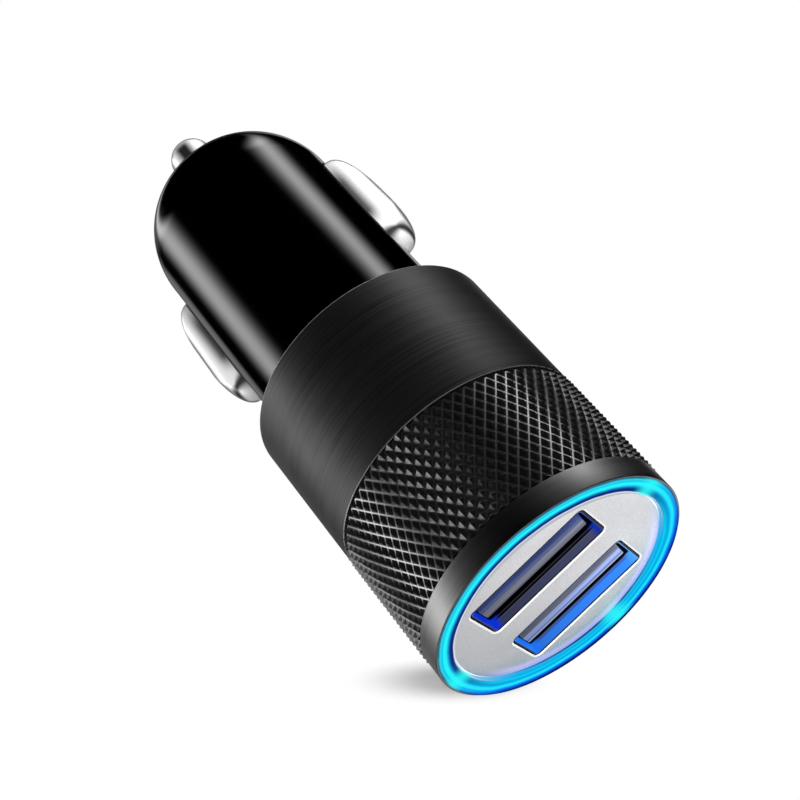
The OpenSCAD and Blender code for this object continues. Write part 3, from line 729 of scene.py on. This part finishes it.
tongue_1 = tongue_plastic_painted_glow("tongue_1", -PORT_Y + TONGUE_Y, (0.032, 0.053, 0.19), [
    (0.0, 0.045, 0.07, 0.22), (0.35, 0.09, 0.11, 0.22), (0.42, 0.18, 0.20, 0.30),
    (0.62, 0.165, 0.18, 0.24), (0.78, 0.136, 0.144, 0.188), (0.88, 0.06, 0.06, 0.084),
    (0.93, 0.127, 0.13, 0.165), (0.97, 0.0, 0.0, 0.0)])
tongue_2 = tongue_plastic_painted_glow("tongue_2", PORT_Y + TONGUE_Y, (0.136, 0.144, 0.188), [
    (0.14, 0.136, 0.144, 0.188), (0.24, 0.25, 0.31, 0.53), (0.35, 0.305, 0.41, 0.87),
    (0.57, 0.305, 0.41, 0.87), (0.68, 0.165, 0.246, 0.53), (0.79, 0.084, 0.13, 0.30),
    (0.90, 0.40, 0.48, 0.70), (0.97, 0.01, 0.01, 0.02)])
plating_painted_light_1 = shell_plating_painted_light("plating_painted_light_1", -PORT_Y, [
    (0.0, 0.045, 0.051, 0.107), (0.45, 0.045, 0.051, 0.107), (0.50, 0.085, 0.09, 0.12),
    (0.55, 0.0, 0.0, 0.0), (0.65, 0.0, 0.0, 0.0), (0.70, 0.04, 0.04, 0.046), (0.75, 0.0, 0.0, 0.0)],
    (0.003, 0.03, 0.60), (0.005, 0.03, 0.35))
plating_painted_light_2 = shell_plating_painted_light("plating_painted_light_2", PORT_Y, [
    (0.0, 0.032, 0.22, 0.90), (0.56, 0.032, 0.22, 0.90), (0.63, 0.02, 0.084, 0.37),
    (0.70, 0.085, 0.15, 0.45), (0.77, 0.03, 0.05, 0.16), (0.80, 0.0, 0.0, 0.0)],
    (0.012, 0.17, 0.90), (0.08, 0.38, 0.95))
print("socket finishes made")

# %% [markdown]
# ## The turned sleeve
#
# The real sleeve is one turned piece: a thin lip round the light ring, a smooth rim, a bed for the knurl, a
# plain band and a back wall that the barrel passes through. The profile below is spun, and every outer
# corner is broken a little so that it draws a light line. The faces of both of the band's broken edges get
# a lighter metal, which is a painted highlight.

# %% Turn the sleeve
sleeve_profile = rounded([
    (LIP_R, Z_SHELF, 0), (LIP_R, Z_LIP, 0.03), (SLEEVE_R, Z_LIP, 0.22), (SLEEVE_R, Z_RIM_END, 0.14),
    (BED_R, Z_RIM_END, 0), (BED_R, Z_KNURL_END, 0), (SLEEVE_R, Z_KNURL_END, 0.14),
    (SLEEVE_R, Z_SLEEVE_END, 0.4), (BARREL_R + 0.05, Z_SLEEVE_END, 0.08), (BARREL_R + 0.05, Z_SHOULDER, 0),
    (BORE_R, Z_SHOULDER, 0), (BORE_R, Z_SHELF, 0)])
sleeve_turned = turned("sleeve_turned", sleeve_profile, steps=FINE_STEPS)
dressed(sleeve_turned, band_metal, rim_metal, painted_band_edge_highlight)
# The faces of the band's broken edges get the painted highlight metal.
for face in sleeve_turned.data.polygons:
    middle, slope = face.center / MM, face.normal.z
    front_edge = abs(middle.z - Z_KNURL_END) < 0.16 and -0.95 < slope < -0.15
    back_edge = middle.z > Z_SLEEVE_END - 0.4 and 0.4 < slope < 0.95
    if (front_edge or back_edge) and middle.xy.length > 12.4:
        face.material_index = 2
    else:
        face.material_index = 1 if middle.z < Z_RIM_END + 0.05 else 0
print("sleeve:", len(sleeve_turned.data.polygons), "faces")

# %% [markdown]
# ## The diamond knurl
#
# A knurl follows a rule, so Geometry Nodes make it. One diamond is a four-sided cone: its lowest ring
# becomes the flat floor of the groove round it, the next ones its rounded foot, and the last its tip. The
# diamond is bent onto the cylinder, and then repeated round each row and along the band. The rows at both
# ends are half diamonds, open to the relief groove. The groove is one of the cone's eight steps wide, so
# that the points of both ends lie at even steps and close on each other.

# %% Build the knurl tree
KNURL_Z0, KNURL_Z1 = 3.12, 15.28
KNURL_SIZES = {"Count": 72, "Rows": 15, "Groove Radius": 12.77 * MM, "Tip Radius": 13.15 * MM,
               "Bed Radius": 12.35 * MM, "Start": KNURL_Z0 * MM, "End": KNURL_Z1 * MM, "Groove Width": 0.125}
CONE_STEPS, FOOT_SOFTNESS, MERGE = 8, 0.04, 0.004 * MM


def build_knurl_tree():
    """The Geometry Nodes tree of the knurl, with its sizes as named inputs."""
    tree = bpy.data.node_groups.new("diamond_knurl", "GeometryNodeTree")
    sockets = [("Geometry", "Geometry")]
    sockets += [(label, "Int" if isinstance(value, int) else "Float") for label, value in KNURL_SIZES.items()]
    for label, kind in sockets + [("Material", "Material")]:
        tree.interface.new_socket(name=label, in_out="INPUT", socket_type="NodeSocket" + kind)
    tree.interface.new_socket(name="Geometry", in_out="OUTPUT", socket_type="NodeSocketGeometry")
    given = tree.nodes.new("NodeGroupInput").outputs
    sizes = [Term(given[label]) for label in KNURL_SIZES]
    count, rows, groove_r, tip_r, bed_r, start, end, groove_width = sizes

    def node(kind, links, output=0, **settings):
        """An output of a new node."""
        return Term(add(tree, kind, links, **settings).outputs[output])

    def compare(first, second, operation, kind="FLOAT"):
        return node("FunctionNodeCompare", {"A": first, "B": second}, data_type=kind, operation=operation)

    def position():
        return split(node("GeometryNodeInputPosition", {}))

    def moved_to(geometry, place, selection=True):
        links = {"Geometry": geometry, "Position": place, "Selection": selection}
        return node("GeometryNodeSetPosition", links)

    # One diamond: t runs from 0 in the groove to 1 at the tip
    cone = node("GeometryNodeMeshCone", {"Vertices": 4, "Side Segments": CONE_STEPS, "Radius Top": 0.0,
                                         "Radius Bottom": 1.0, "Depth": 1.0}, "Mesh", fill_type="NONE")
    x, y, t = position()
    edge = 1 - groove_width
    floor = 1 - (t * CONE_STEPS).least(1.0) * groove_width
    reach = floor.least(edge * (1 - t) / (1 - 1 / CONE_STEPS))
    grow = reach / (1 - t).most(0.0001)
    inward = (edge - reach).most(0.0) / edge
    height = (inward * inward + FOOT_SOFTNESS**2).math("SQRT") - FOOT_SOFTNESS
    radius = (tip_r - groove_r) * height + groove_r
    step_angle = math.pi / count
    row = (end - start) / rows
    angle = x * grow * step_angle
    diamond = moved_to(cone, combined(tree, radius * angle.math("COSINE"), radius * angle.math("SINE"),
                                      y * grow * row))

    def rows_of(piece, first, how_many):
        """Copies of a piece at every second half step round, for a run of rows."""
        points = node("GeometryNodePoints", {"Count": count * how_many})
        index = node("GeometryNodeInputIndex", {})
        row_no = ((index + 0.5) / count).math("FLOOR") + first
        turn = (index * 2 + row_no.math("MODULO", 2.0)) * step_angle
        spin = node("FunctionNodeEulerToRotation", {0: combined(tree, z=turn)})
        lifted = moved_to(points, combined(tree, z=row_no * row + start))
        return node("GeometryNodeInstanceOnPoints", {"Points": lifted, "Instance": piece, "Rotation": spin})

    def half(sign):
        """The diamond without its lower or upper corner."""
        gone = compare(position()[2] * sign, -0.00001, "LESS_THAN")
        return node("GeometryNodeDeleteGeometry", {"Geometry": diamond, "Selection": gone}, domain="POINT")

    join = tree.nodes.new("GeometryNodeJoinGeometry")
    for part in (rows_of(diamond, 1.0, rows - 1), rows_of(half(1.0), 0.0, 1.0),
                 rows_of(half(-1.0), rows, 1.0)):
        feed(join, Geometry=part)
    real = node("GeometryNodeRealizeInstances", {"Geometry": Term(join.outputs[0])})
    net = node("GeometryNodeMergeByDistance", {"Geometry": real, "Distance": MERGE})

    # Both open edges are drawn in to the bed radius
    open_edge = compare(node("GeometryNodeInputMeshEdgeNeighbors", {}), 1, "EQUAL", "INT")
    wall = add(tree, "GeometryNodeExtrudeMesh", {"Mesh": net, "Selection": open_edge, "Offset Scale": 0.0},
               mode="EDGES").outputs
    x, y, z = position()
    bearing = y.math("ARCTAN2", x)
    drawn_in = combined(tree, bed_r * bearing.math("COSINE"), bed_r * bearing.math("SINE"), z)
    sunk = moved_to(Term(wall["Mesh"]), drawn_in, Term(wall["Top"]))

    # The lower edge is carried up to meet the upper one, which closes the band
    low = compare(z, (start + end) * 0.5, "LESS_THAN")
    low_edge = node("FunctionNodeBooleanMath", {0: low, 1: open_edge}, operation="AND")
    inside = node("GeometryNodeExtrudeMesh", {"Mesh": sunk, "Selection": low_edge, "Offset": combined(
        tree, z=end - start), "Offset Scale": 1.0}, "Mesh", mode="EDGES")
    closed = node("GeometryNodeMergeByDistance", {"Geometry": inside, "Distance": MERGE})
    done = node("GeometryNodeRealizeInstances", {"Geometry": closed})
    coated = node("GeometryNodeSetMaterial", {"Geometry": done, "Material": given["Material"]})
    feed(tree.nodes.new("NodeGroupOutput"), Geometry=coated)
    return tree


knurl_tree = build_knurl_tree()
print("knurl tree:", len(knurl_tree.nodes), "nodes")

# %% [markdown]
# The tree is put on an empty mesh, its inputs are set by their identifiers, and its result is kept as a
# plain mesh.

# %% Make the knurl
sleeve_knurl = linked("sleeve_knurl", bpy.data.meshes.new("sleeve_knurl"))
knurl_modifier = sleeve_knurl.modifiers.new("knurl", "NODES")
knurl_modifier.node_group = knurl_tree
for socket in knurl_tree.interface.items_tree:
    if socket.in_out == "INPUT" and socket.name in KNURL_SIZES:
        knurl_modifier[socket.identifier] = KNURL_SIZES[socket.name]
    elif socket.in_out == "INPUT" and socket.name == "Material":
        knurl_modifier[socket.identifier] = knurl_metal
baked(sleeve_knurl, sharp=24)
edge_uses = np.bincount([loop.edge_index for loop in sleeve_knurl.data.loops])
open_edges = int((edge_uses != 2).sum())
print("knurl:", len(sleeve_knurl.data.polygons), "faces,", open_edges, "edges without two faces")

# %% [markdown]
# ## The barrel
#
# The barrel is one gloss black moulding, from the cup inside the sleeve to the rounded nose. Its
# reflections are long smooth bands, so it is spun with many steps, and the two wing slots are cut by
# stadium-shaped cutters.

# %% Turn the barrel and cut its slots
NOSE_POWER, NOSE_END_R, NOSE_WALL_R = 1.9, 3.9, 5.0


def nose_curve(outer, inner, length, steps=36):
    """Points of the rounded nose, as a curve between an ellipse and a cone."""
    power = 2 / NOSE_POWER
    return [(inner + (outer - inner) * math.cos(math.radians(90 * i / steps)) ** power,
             Z_NOSE + length * math.sin(math.radians(90 * i / steps)) ** power) for i in range(steps + 1)]


outside = [(CUP_IN_R, Z_FOOT), (CUP_R, Z_FOOT), (CUP_R, Z_SHOULDER), (BARREL_R, Z_SHOULDER)]
outside += nose_curve(BARREL_R, NOSE_END_R, Z_NOSE_END - Z_NOSE)
TIP_BORE_R, FLANGE_BORE_R, Z_BORE_END, HOLLOW_LEN = 2.45, 3.8, 57.2, 5.2605
end_bore = [(TIP_BORE_R, Z_NOSE_END), (TIP_BORE_R, Z_FLANGE), (FLANGE_BORE_R, Z_FLANGE),
            (FLANGE_BORE_R, Z_BORE_END), (NOSE_WALL_R, Z_BORE_END)]
hollow = nose_curve(BARREL_IN_R, NOSE_WALL_R, HOLLOW_LEN, steps=14)[::-1]
CUP_STEP_R, Z_CUP_STEP = 9.6, Z_SHOULDER - 1.25
cup = [(BARREL_IN_R, Z_CUP_STEP), (CUP_STEP_R, Z_CUP_STEP), (CUP_STEP_R, Z_BOARD_BACK),
       (CUP_IN_R, Z_BOARD_BACK)]
barrel = turned("barrel", outside + end_bore + hollow + cup, steps=FINE_STEPS, sharp=30)


def stadium_ring(length, width, x, mid_z, steps=24):
    """Points round a stadium that stands in the plane at x, with its length along Z."""
    reach = (length - width) / 2
    ring = []
    for sign in (1, -1):
        for i in range(steps + 1):
            a = math.radians(180 * i / steps) if sign > 0 else math.radians(180 + 180 * i / steps)
            ring.append((x, width / 2 * math.cos(a), mid_z + sign * reach + width / 2 * math.sin(a)))
    return ring


SLOT_ROOM, SLOT_FROM, SLOT_TO = 0.44, 7.5, 11.5
slot_size = WING_LEN + SLOT_ROOM, WING_W + SLOT_ROOM
slots = [stacked("slot", [stadium_ring(*slot_size, side * x, WING_MID_Z) for x in (SLOT_FROM, SLOT_TO)])
         for side in (-1, 1)]
dressed(cut_by(barrel, slots, sharp=30), gloss_black)
print("barrel:", len(barrel.data.polygons), "faces")

# %% [markdown]
# ## The chrome tip
#
# The centre contact is a turned pin with a domed end. A flange keeps it in the nose, and its spigot centres
# the spring.

# %% Turn the centre contact
quarter = [math.radians(90 * i / 20) for i in range(21)]
dome = [(TIP_R * math.cos(a), Z_TIP - TIP_R + TIP_R * math.sin(a)) for a in quarter]
under_flange = Z_SPRING_TOP + 0.03
SPIGOT_R, FLANGE_R, Z_SPIGOT = 2.2, 3.75, Z_SPRING_TOP - 1
pin = rounded([(0, Z_SPIGOT, 0), (SPIGOT_R, Z_SPIGOT, 0.25), (SPIGOT_R, under_flange, 0),
               (FLANGE_R, under_flange, 0.15), (FLANGE_R, Z_FLANGE, 0.15), (TIP_R, Z_FLANGE, 0)])
tip_contact = dressed(turned("tip_contact", pin + dome[:-1] + [(0, Z_TIP)], steps=96), chrome_tip)
print("tip:", len(tip_contact.data.polygons), "faces")

# %% [markdown]
# The spring stands between its seat and the tip's flange. Its turns lie closer toward both ends, and it is
# a piece of its own.

# %% Wind the spring
SPRING_R, WIRE_R, SPRING_TURNS, STEPS_A_TURN, WIRE_SIDES = 2.8, 0.25, 6, 24, 10
SPRING_LEN = Z_SPRING_TOP - Z_SEAT
wire = [(WIRE_R * math.cos(b), WIRE_R * math.sin(b)) for b in np.linspace(0, 2 * math.pi, WIRE_SIDES, False)]
coil = []
for t in np.linspace(0, 1, SPRING_TURNS * STEPS_A_TURN + 1):
    a, share = 2 * math.pi * SPRING_TURNS * t, t - 0.5 * math.sin(2 * math.pi * t) / (2 * math.pi)
    middle_z = Z_SEAT + WIRE_R + (SPRING_LEN - 2 * WIRE_R) * share
    coil.append([((SPRING_R + out) * math.cos(a), (SPRING_R + out) * math.sin(a), middle_z + up)
                 for out, up in wire])
spring = dressed(stacked("coil_spring", coil, sharp=60), FINISHES["spring_steel"])
print("spring:", len(spring.data.polygons), "faces,", SPRING_LEN, "mm long")

# %% [markdown]
# ## The chrome wings
#
# Each wing is a drawn dome with a stadium outline on a flat spring leaf. Its rings shrink along a full
# curve between an ellipse and a box, so the crest is broad and the shoulders are round. The photo's wings
# aren't mirrored in the barrel, so glossy rays pass them.

# %% Draw the wings
WING_BASE_X, WING_RISE, WING_POWER, WING_LEAN = 10.134, 2.646, 2.6, 0.08
LEAF_X, LEAF_HALF_W, LEAF_Z = (7.89, 8.29), 3.0, (38.5, 55.4)


def wing_ring(side, grow, x):
    """One ring of a wing: the stadium scaled toward its middle line, leaning with its place along Z."""
    ring = []
    for _, y, z in stadium_ring(WING_LEN, WING_W, 0, 0, steps=32):
        low_y, low_z = y * grow, z * grow
        lean = 1 - WING_LEAN * low_z / (WING_LEN / 2)
        high = WING_BASE_X + (x - WING_BASE_X) * (lean if x > WING_BASE_X else 1)
        ring.append((side * high, low_y, WING_MID_Z + low_z))
    return ring


def make_wing(name, side):
    """A wing dome with its leaf."""
    power = 2 / WING_POWER
    rings = [wing_ring(side, 1.0, 8.09)]
    for i in range(33):
        t = math.radians(90 * i / 33)
        rings.append(wing_ring(side, math.cos(t) ** power, WING_BASE_X + WING_RISE * math.sin(t) ** power))
    dome_part = stacked("dome", rings, sharp=60)
    leaf = box_piece("leaf", (min(side * x for x in LEAF_X), -LEAF_HALF_W, LEAF_Z[0]),
                     (max(side * x for x in LEAF_X), LEAF_HALF_W, LEAF_Z[1]))
    wing = dressed(joined(name, [dome_part, leaf], sharp=50), chrome_wing)
    wing.visible_glossy = False
    return wing


wing_left = make_wing("wing_chrome_left", -1)
wing_right = make_wing("wing_chrome_right", 1)
print("wings:", len(wing_left.data.polygons), "faces each")

# %% [markdown]
# ## The face
#
# The light ring is a clear bulge with two legs that lead light up from the lamps.

# %% Make the light ring
crest = (RING_R + PLATE_EDGE_R) / 2
FLAT_HALF, BULGE_RISE, BULGE_STEPS = 0.3, 0.45, 16
bulge = []
for sign, start, width in ((1, 0, RING_R - crest - FLAT_HALF), (-1, -90, crest - FLAT_HALF - PLATE_EDGE_R)):
    for i in range(BULGE_STEPS + 1):
        a = math.radians(start - 90 * i / BULGE_STEPS)
        bulge.append((crest + sign * FLAT_HALF + width * math.cos(a), Z_LIP + BULGE_RISE * math.sin(a)))
ring_profile = [(RING_R, Z_SHELF)] + bulge + [
    (PLATE_EDGE_R, Z_SHELF), (CUP_IN_R, Z_SHELF), (CUP_IN_R, Z_FOOT), (CUP_R, Z_FOOT), (CUP_R, Z_SHELF)]
ring_body = turned("ring_body", ring_profile, steps=FINE_STEPS)
LEG_R, LEG_IN_X, LEG_HALF_W, Z_LEG_END = 10.29, 9.0, 1.5, 14.6
leg_parts = []
for side in (-1, 1):
    across = np.linspace(-LEG_HALF_W, LEG_HALF_W, 9)
    arc = [(side * LEG_R * math.cos(math.asin(y / LEG_R)), y) for y in across]
    outline = [(side * LEG_IN_X, -LEG_HALF_W)] + arc + [(side * LEG_IN_X, LEG_HALF_W)]
    leg_parts.append(stacked("leg", [[(x, y, z) for x, y in outline] for z in (Z_SHELF, Z_LEG_END)]))
light_ring = dressed(joined("light_guide", [ring_body] + leg_parts), ring_glow)
print("light ring:", len(light_ring.data.polygons), "faces")

# %% [markdown]
# The plate is a blasted disc with two windows. Its edges and theirs are broken, and the broken faces glow
# with painted light: a white line round each socket, and round the face a line that is white on the near
# side and dark blue on the far side.

# %% Make the face plate
EDGE_DEPTH = 0.1


def window_cutter(y):
    """A cutter the size of a socket window, which widens where it breaks the plate's front edge."""
    rings = []
    for z, grow in ((Z_PLATE - 0.4, 0.85), (Z_PLATE + EDGE_DEPTH, 0.05), (3.0, 0.05)):
        outline = rounded_rect(SHELL_W + 2 * grow, SHELL_H + 2 * grow, SHELL_CORNER + grow)
        rings.append([(px, py + y, z) for px, py in outline])
    return stacked("window", rings)


plate = turned("plate", [(0, Z_PLATE), (PLATE_R - 0.14, Z_PLATE), (PLATE_R, Z_PLATE + EDGE_DEPTH),
                         (PLATE_R, Z_SHELF), (0, Z_SHELF)], sharp=20)
cut_by(plate, [window_cutter(-PORT_Y), window_cutter(PORT_Y)], sharp=20)
dressed(plate, satin_silver, painted_edge_highlight, plate_rim_painted_glow)
# Broken faces get the painted highlights, round the windows and round the face.
for face in plate.data.polygons:
    middle = face.center / MM
    broken = Z_PLATE < middle.z < Z_PLATE + EDGE_DEPTH and 0.1 < -face.normal.z < 0.99
    face.material_index = (2 if middle.xy.length > PLATE_R - 0.2 else 1) if broken else 0
print("broken edges:", sum(1 for face in plate.data.polygons if face.material_index), "faces")
print("plate:", len(plate.data.polygons), "faces")

# %% [markdown]
# ## The socket shells
#
# Each shell is a folded sheet with rounded corners and a rounded front edge, open at the front. Its rings
# run up the outside, over the front edge and down the inside.

# %% Fold the shells


def make_shell(name, y, plating):
    """One socket shell with its two legs through the board."""
    inner_w, inner_h = SHELL_W - 2 * SHELL_WALL, SHELL_H - 2 * SHELL_WALL
    rings = []
    for z, inset in ((Z_BOARD, 0.0), (Z_SHELL + 0.12, 0.0), (Z_SHELL + 0.03, 0.05), (Z_SHELL, 0.15),
                     (Z_SHELL + 0.03, 0.25), (Z_SHELL + 0.12, SHELL_WALL), (Z_BOARD, SHELL_WALL)):
        outline = rounded_rect(SHELL_W - 2 * inset, SHELL_H - 2 * inset, SHELL_CORNER - inset)
        rings.append([(px, py + y, z) for px, py in outline])
    tube = stacked("tube", rings, joined=True)
    legs = [box_piece("leg", (x - 0.15, y - 1, Z_BOARD), (x + 0.15, y + 1, Z_BOARD_BACK + 0.8))
            for x in (-6.4, 6.4)]
    shell = dressed(joined(name, [tube] + legs), plating)
    print(name, "opening", round(inner_w, 2), "by", round(inner_h, 2), "mm")
    return shell


shell_1 = make_shell("socket_shell_1", -PORT_Y, plating_painted_light_1)
shell_2 = make_shell("socket_shell_2", PORT_Y, plating_painted_light_2)

# %% [markdown]
# ## The socket tongues
#
# The tongue is a clear moulding with rounded edges that stands on a base block. A bevel rounds it, so that
# its front end draws soft lines across its thickness, beside the painted lines of light and shade in its
# finish.

# %% Mould the tongues


def make_tongue(name, y, plastic):
    """One tongue on its base block, with rounded edges."""
    low = y + TONGUE_Y - TONGUE_T / 2
    tongue = box_piece("tongue", (-TONGUE_W / 2, low, Z_TONGUE),
                       (TONGUE_W / 2, low + TONGUE_T, Z_TONGUE_BASE))
    round_off = tongue.modifiers.new("round_off", "BEVEL")
    round_off.width, round_off.segments = 0.09 * MM, 3
    baked(tongue, sharp=40)
    outline = rounded_rect(SHELL_W - 0.66, SHELL_H - 0.66, 0.3)
    base = stacked("base", [[(px, py + y, z) for px, py in outline] for z in (Z_TONGUE_BASE, Z_BOARD)])
    return dressed(joined(name, [tongue, base], sharp=40), plastic)


insert_1 = make_tongue("socket_tongue_1", -PORT_Y, tongue_1)
insert_2 = make_tongue("socket_tongue_2", PORT_Y, tongue_2)
print("tongues:", len(insert_1.data.polygons), "faces each")

# %% [markdown]
# ## Put each piece on its body
#
# Every finished piece rides a body of the CAD part and stands for the node that it replaces. The knurl
# belongs to the sleeve. The nodes that stay get the finish of their slot.

# %% Ride, replace and dress
for piece, body, node, slot_name in (
        (barrel, "housing", "barrel_housing", "gloss_black"),
        (plate, "housing", "face_plate", "satin_silver"),
        (light_ring, "housing", "light_ring", "ring_glow"),
        (shell_1, "housing", "usb_shell_1", "shell_metal"),
        (shell_2, "housing", "usb_shell_2", "shell_metal"),
        (insert_1, "housing", "usb_insert_1", "insert_plastic"),
        (insert_2, "housing", "usb_insert_2", "insert_plastic"),
        (tip_contact, "centre_pin", "centre_contact", "chrome"),
        (wing_left, "wing_left", "ground_wing_1", "chrome"),
        (wing_right, "wing_right", "ground_wing_2", "chrome"),
        (spring, "housing", "centre_spring", "spring_steel"),
        (sleeve_turned, "housing", "sleeve", "black_aluminium")):
    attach(piece, body)
    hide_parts(node)
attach(sleeve_knurl, "housing")
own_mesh(spring)

slot_of = {entry["node"]: entry["material_slot"] for entry in frame["record"]["subparts"]}
for node, piece in frame["nodes"].items():
    finish = FINISHES.get(slot_of[node])
    if finish:
        dressed(piece, finish)
print(len(frame["nodes"]), "nodes dressed")

# %% [markdown]
# ## Light and ground
#
# The world is the studio: a dark room with softboxes, which are what the gloss black and the metals show.
# The shader works by direction, and each row of the table is one lit surface: the tall ones on both sides
# make the barrel's two light bands, the low one is a faint fill, and the last is the white backdrop behind.
# High up the boxes bend sideways, so that the bands run straight over the nose. A camera ray sees plain
# white.

# %% Build the studio
SOFTBOXES = (
    # azimuth, half width, softness, (bottom, lowest full, highest full, top), strength, bend
    (-172.0, 17.0, 16.0, (-46.0, -2.0, 50.0, 67.0), 3.9, -0.20),
    (-222.0, 24.0, 14.0, (46.0, 54.0, 57.0, 66.0), 0.2, 0.0),
    (-2.5, 13.5, 14.0, (22.0, 32.0, 51.0, 65.0), 4.4, 0.10),
    (128.0, 12.0, 5.0, (-60.0, -40.0, 43.0, 49.0), 0.35, 0.0),
    (92.0, 24.0, 7.0, (-100.0, -90.0, 40.0, 62.0), 1.0, 0.0),
)
BEND_FROM, NARROWING = 44.4, 1.31

world = bpy.data.worlds.new("studio")
bpy.context.scene.world = world
world.use_nodes = True
studio = world.node_tree
x, y, z = split(Term(add(studio, "ShaderNodeTexCoord").outputs["Generated"]))
bearing = y.math("ARCTAN2", x).math("DEGREES")
rise = z.math("ARCSINE").math("DEGREES")


def softbox(azimuth, half_width, softness, upright, strength, bend):
    """The light of a softbox, which falls off at its edges and bends sideways above a rise."""
    above = (rise - BEND_FROM).most(0.0)
    turn = (bearing - (above * above * bend + azimuth)).math("WRAP", 180.0, -180.0)
    across = abs(turn) * rise.math("RADIANS").math("COSINE") * NARROWING
    sideways = across.ramp(half_width - softness, half_width + softness, 1.0, 0.0)
    return sideways * sideways * rise.ramp(*upright[:2]) * rise.ramp(*upright[2:], 1.0, 0.0) * strength


level = softbox(*SOFTBOXES[0])
for row in SOFTBOXES[1:]:
    level = level.most(softbox(*row))
camera_ray = add(studio, "ShaderNodeLightPath").outputs["Is Camera Ray"]
shown = add(studio, "ShaderNodeMix", {"Factor": camera_ray, "A": level, "B": 1.0}, data_type="FLOAT")
backdrop = studio.nodes["Background"]
backdrop.inputs["Color"].default_value = (1, 1, 1, 1)
feed(backdrop, Strength=Term(shown.outputs["Result"]))
print("studio with", len(SOFTBOXES), "lit surfaces")

# %% [markdown]
# The charger balances on its rim over a white ground, as the photo shows it, so its shadow is small and
# soft. Only the camera sees the ground.

# %% Lay the ground
GROUND_RISE, GROUND_HALF = math.radians(20), 900
GROUND_NORMAL = (CAMERA_UP * math.cos(GROUND_RISE) - CAMERA_AHEAD * math.sin(GROUND_RISE)).normalized()
lean = GROUND_NORMAL.xy.length
RIM_EDGE_R, RING_CREST_R = 12.9, 12.25
GROUND_LEVEL = min(-RIM_EDGE_R * lean + GROUND_NORMAL.z * Z_LIP, -RING_CREST_R * lean) - 0.05
flat_1 = GROUND_NORMAL.cross(Vector((0, 0, 1))).normalized() * GROUND_HALF
flat_2 = GROUND_NORMAL.cross(flat_1)
ground_mesh = bpy.data.meshes.new("ground")
corners = [GROUND_NORMAL * GROUND_LEVEL + flat_1 * a + flat_2 * b
           for a, b in ((-1, -1), (1, -1), (1, 1), (-1, 1))]
ground_mesh.from_pydata([c * MM for c in corners], [], [(0, 1, 2, 3)])
ground = linked("ground", ground_mesh)
for kind in ("visible_glossy", "visible_diffuse", "visible_transmission", "visible_shadow"):
    setattr(ground, kind, False)
print("ground normal", [round(v, 3) for v in GROUND_NORMAL], "level", round(GROUND_LEVEL, 2))

# %% [markdown]
# The paper glows white, less so round the touching point, where it takes its light from a soft sun above
# and so holds the shadow. It is see-through from below.

# %% Make the paper
paper, tree, shader = new_material("paper", Roughness=1.0, Specular_IOR_Level=0.0, Emission_Strength=1.0)
touch = Vector((-GROUND_NORMAL.x, -GROUND_NORMAL.y, 0)) / lean * RIM_EDGE_R + Vector((0, 0, Z_LIP))
from_touch = vector_math("SUBTRACT", object_mm(tree), touch)
# The shadow lies to the left of the touching point and a little behind it, and is longer than it is deep
rightward = vector_math("DOT_PRODUCT", from_touch, CAMERA_RIGHT)
backward = vector_math("DOT_PRODUCT", from_touch, GROUND_NORMAL.cross(CAMERA_RIGHT).normalized())
away = combined(tree, (rightward + 6.5) * 0.66, (backward - 1.0) * 1.45)
far_off = vector_math("LENGTH", away).ramp(1.5, 6.6)
feed(shader, Emission_Color=mixed(far_off, (0.24, 0.24, 0.24), (1.0, 1.0, 1.0)),
     Base_Color=mixed(far_off, (0.7, 0.7, 0.7), (0.0, 0.0, 0.0)))
below = add(tree, "ShaderNodeNewGeometry").outputs["Backfacing"]
both_sides = add(tree, "ShaderNodeMixShader", {
    0: below, 1: shader.outputs[0], 2: add(tree, "ShaderNodeBsdfTransparent").outputs[0]})
feed(tree.nodes["Material Output"], Surface=Term(both_sides.outputs[0]))
dressed(ground, paper)
print("paper round", [round(v, 2) for v in touch])

# %% [markdown]
# One soft sun stands above the ground, and a second one lights the chrome and the plate from the camera's
# side. Neither sun shows in anything glossy.

# %% Hang the suns


def soft_sun(name, energy, degrees, source):
    """A broad sun that lights only what isn't a mirror."""
    data = bpy.data.lights.new(name, "SUN")
    data.energy, data.angle = energy, math.radians(degrees)
    sun = linked(name, data)
    sun.rotation_mode = "QUATERNION"
    sun.rotation_quaternion = source.to_track_quat("Z", "Y")
    sun.visible_glossy = False


soft_sun("top_sun", 1.7, 25, GROUND_NORMAL + CAMERA_RIGHT * 0.25)
soft_sun("front_sun", 3.3, 60, -CAMERA_AHEAD + CAMERA_UP * 0.3)
print("suns hung")
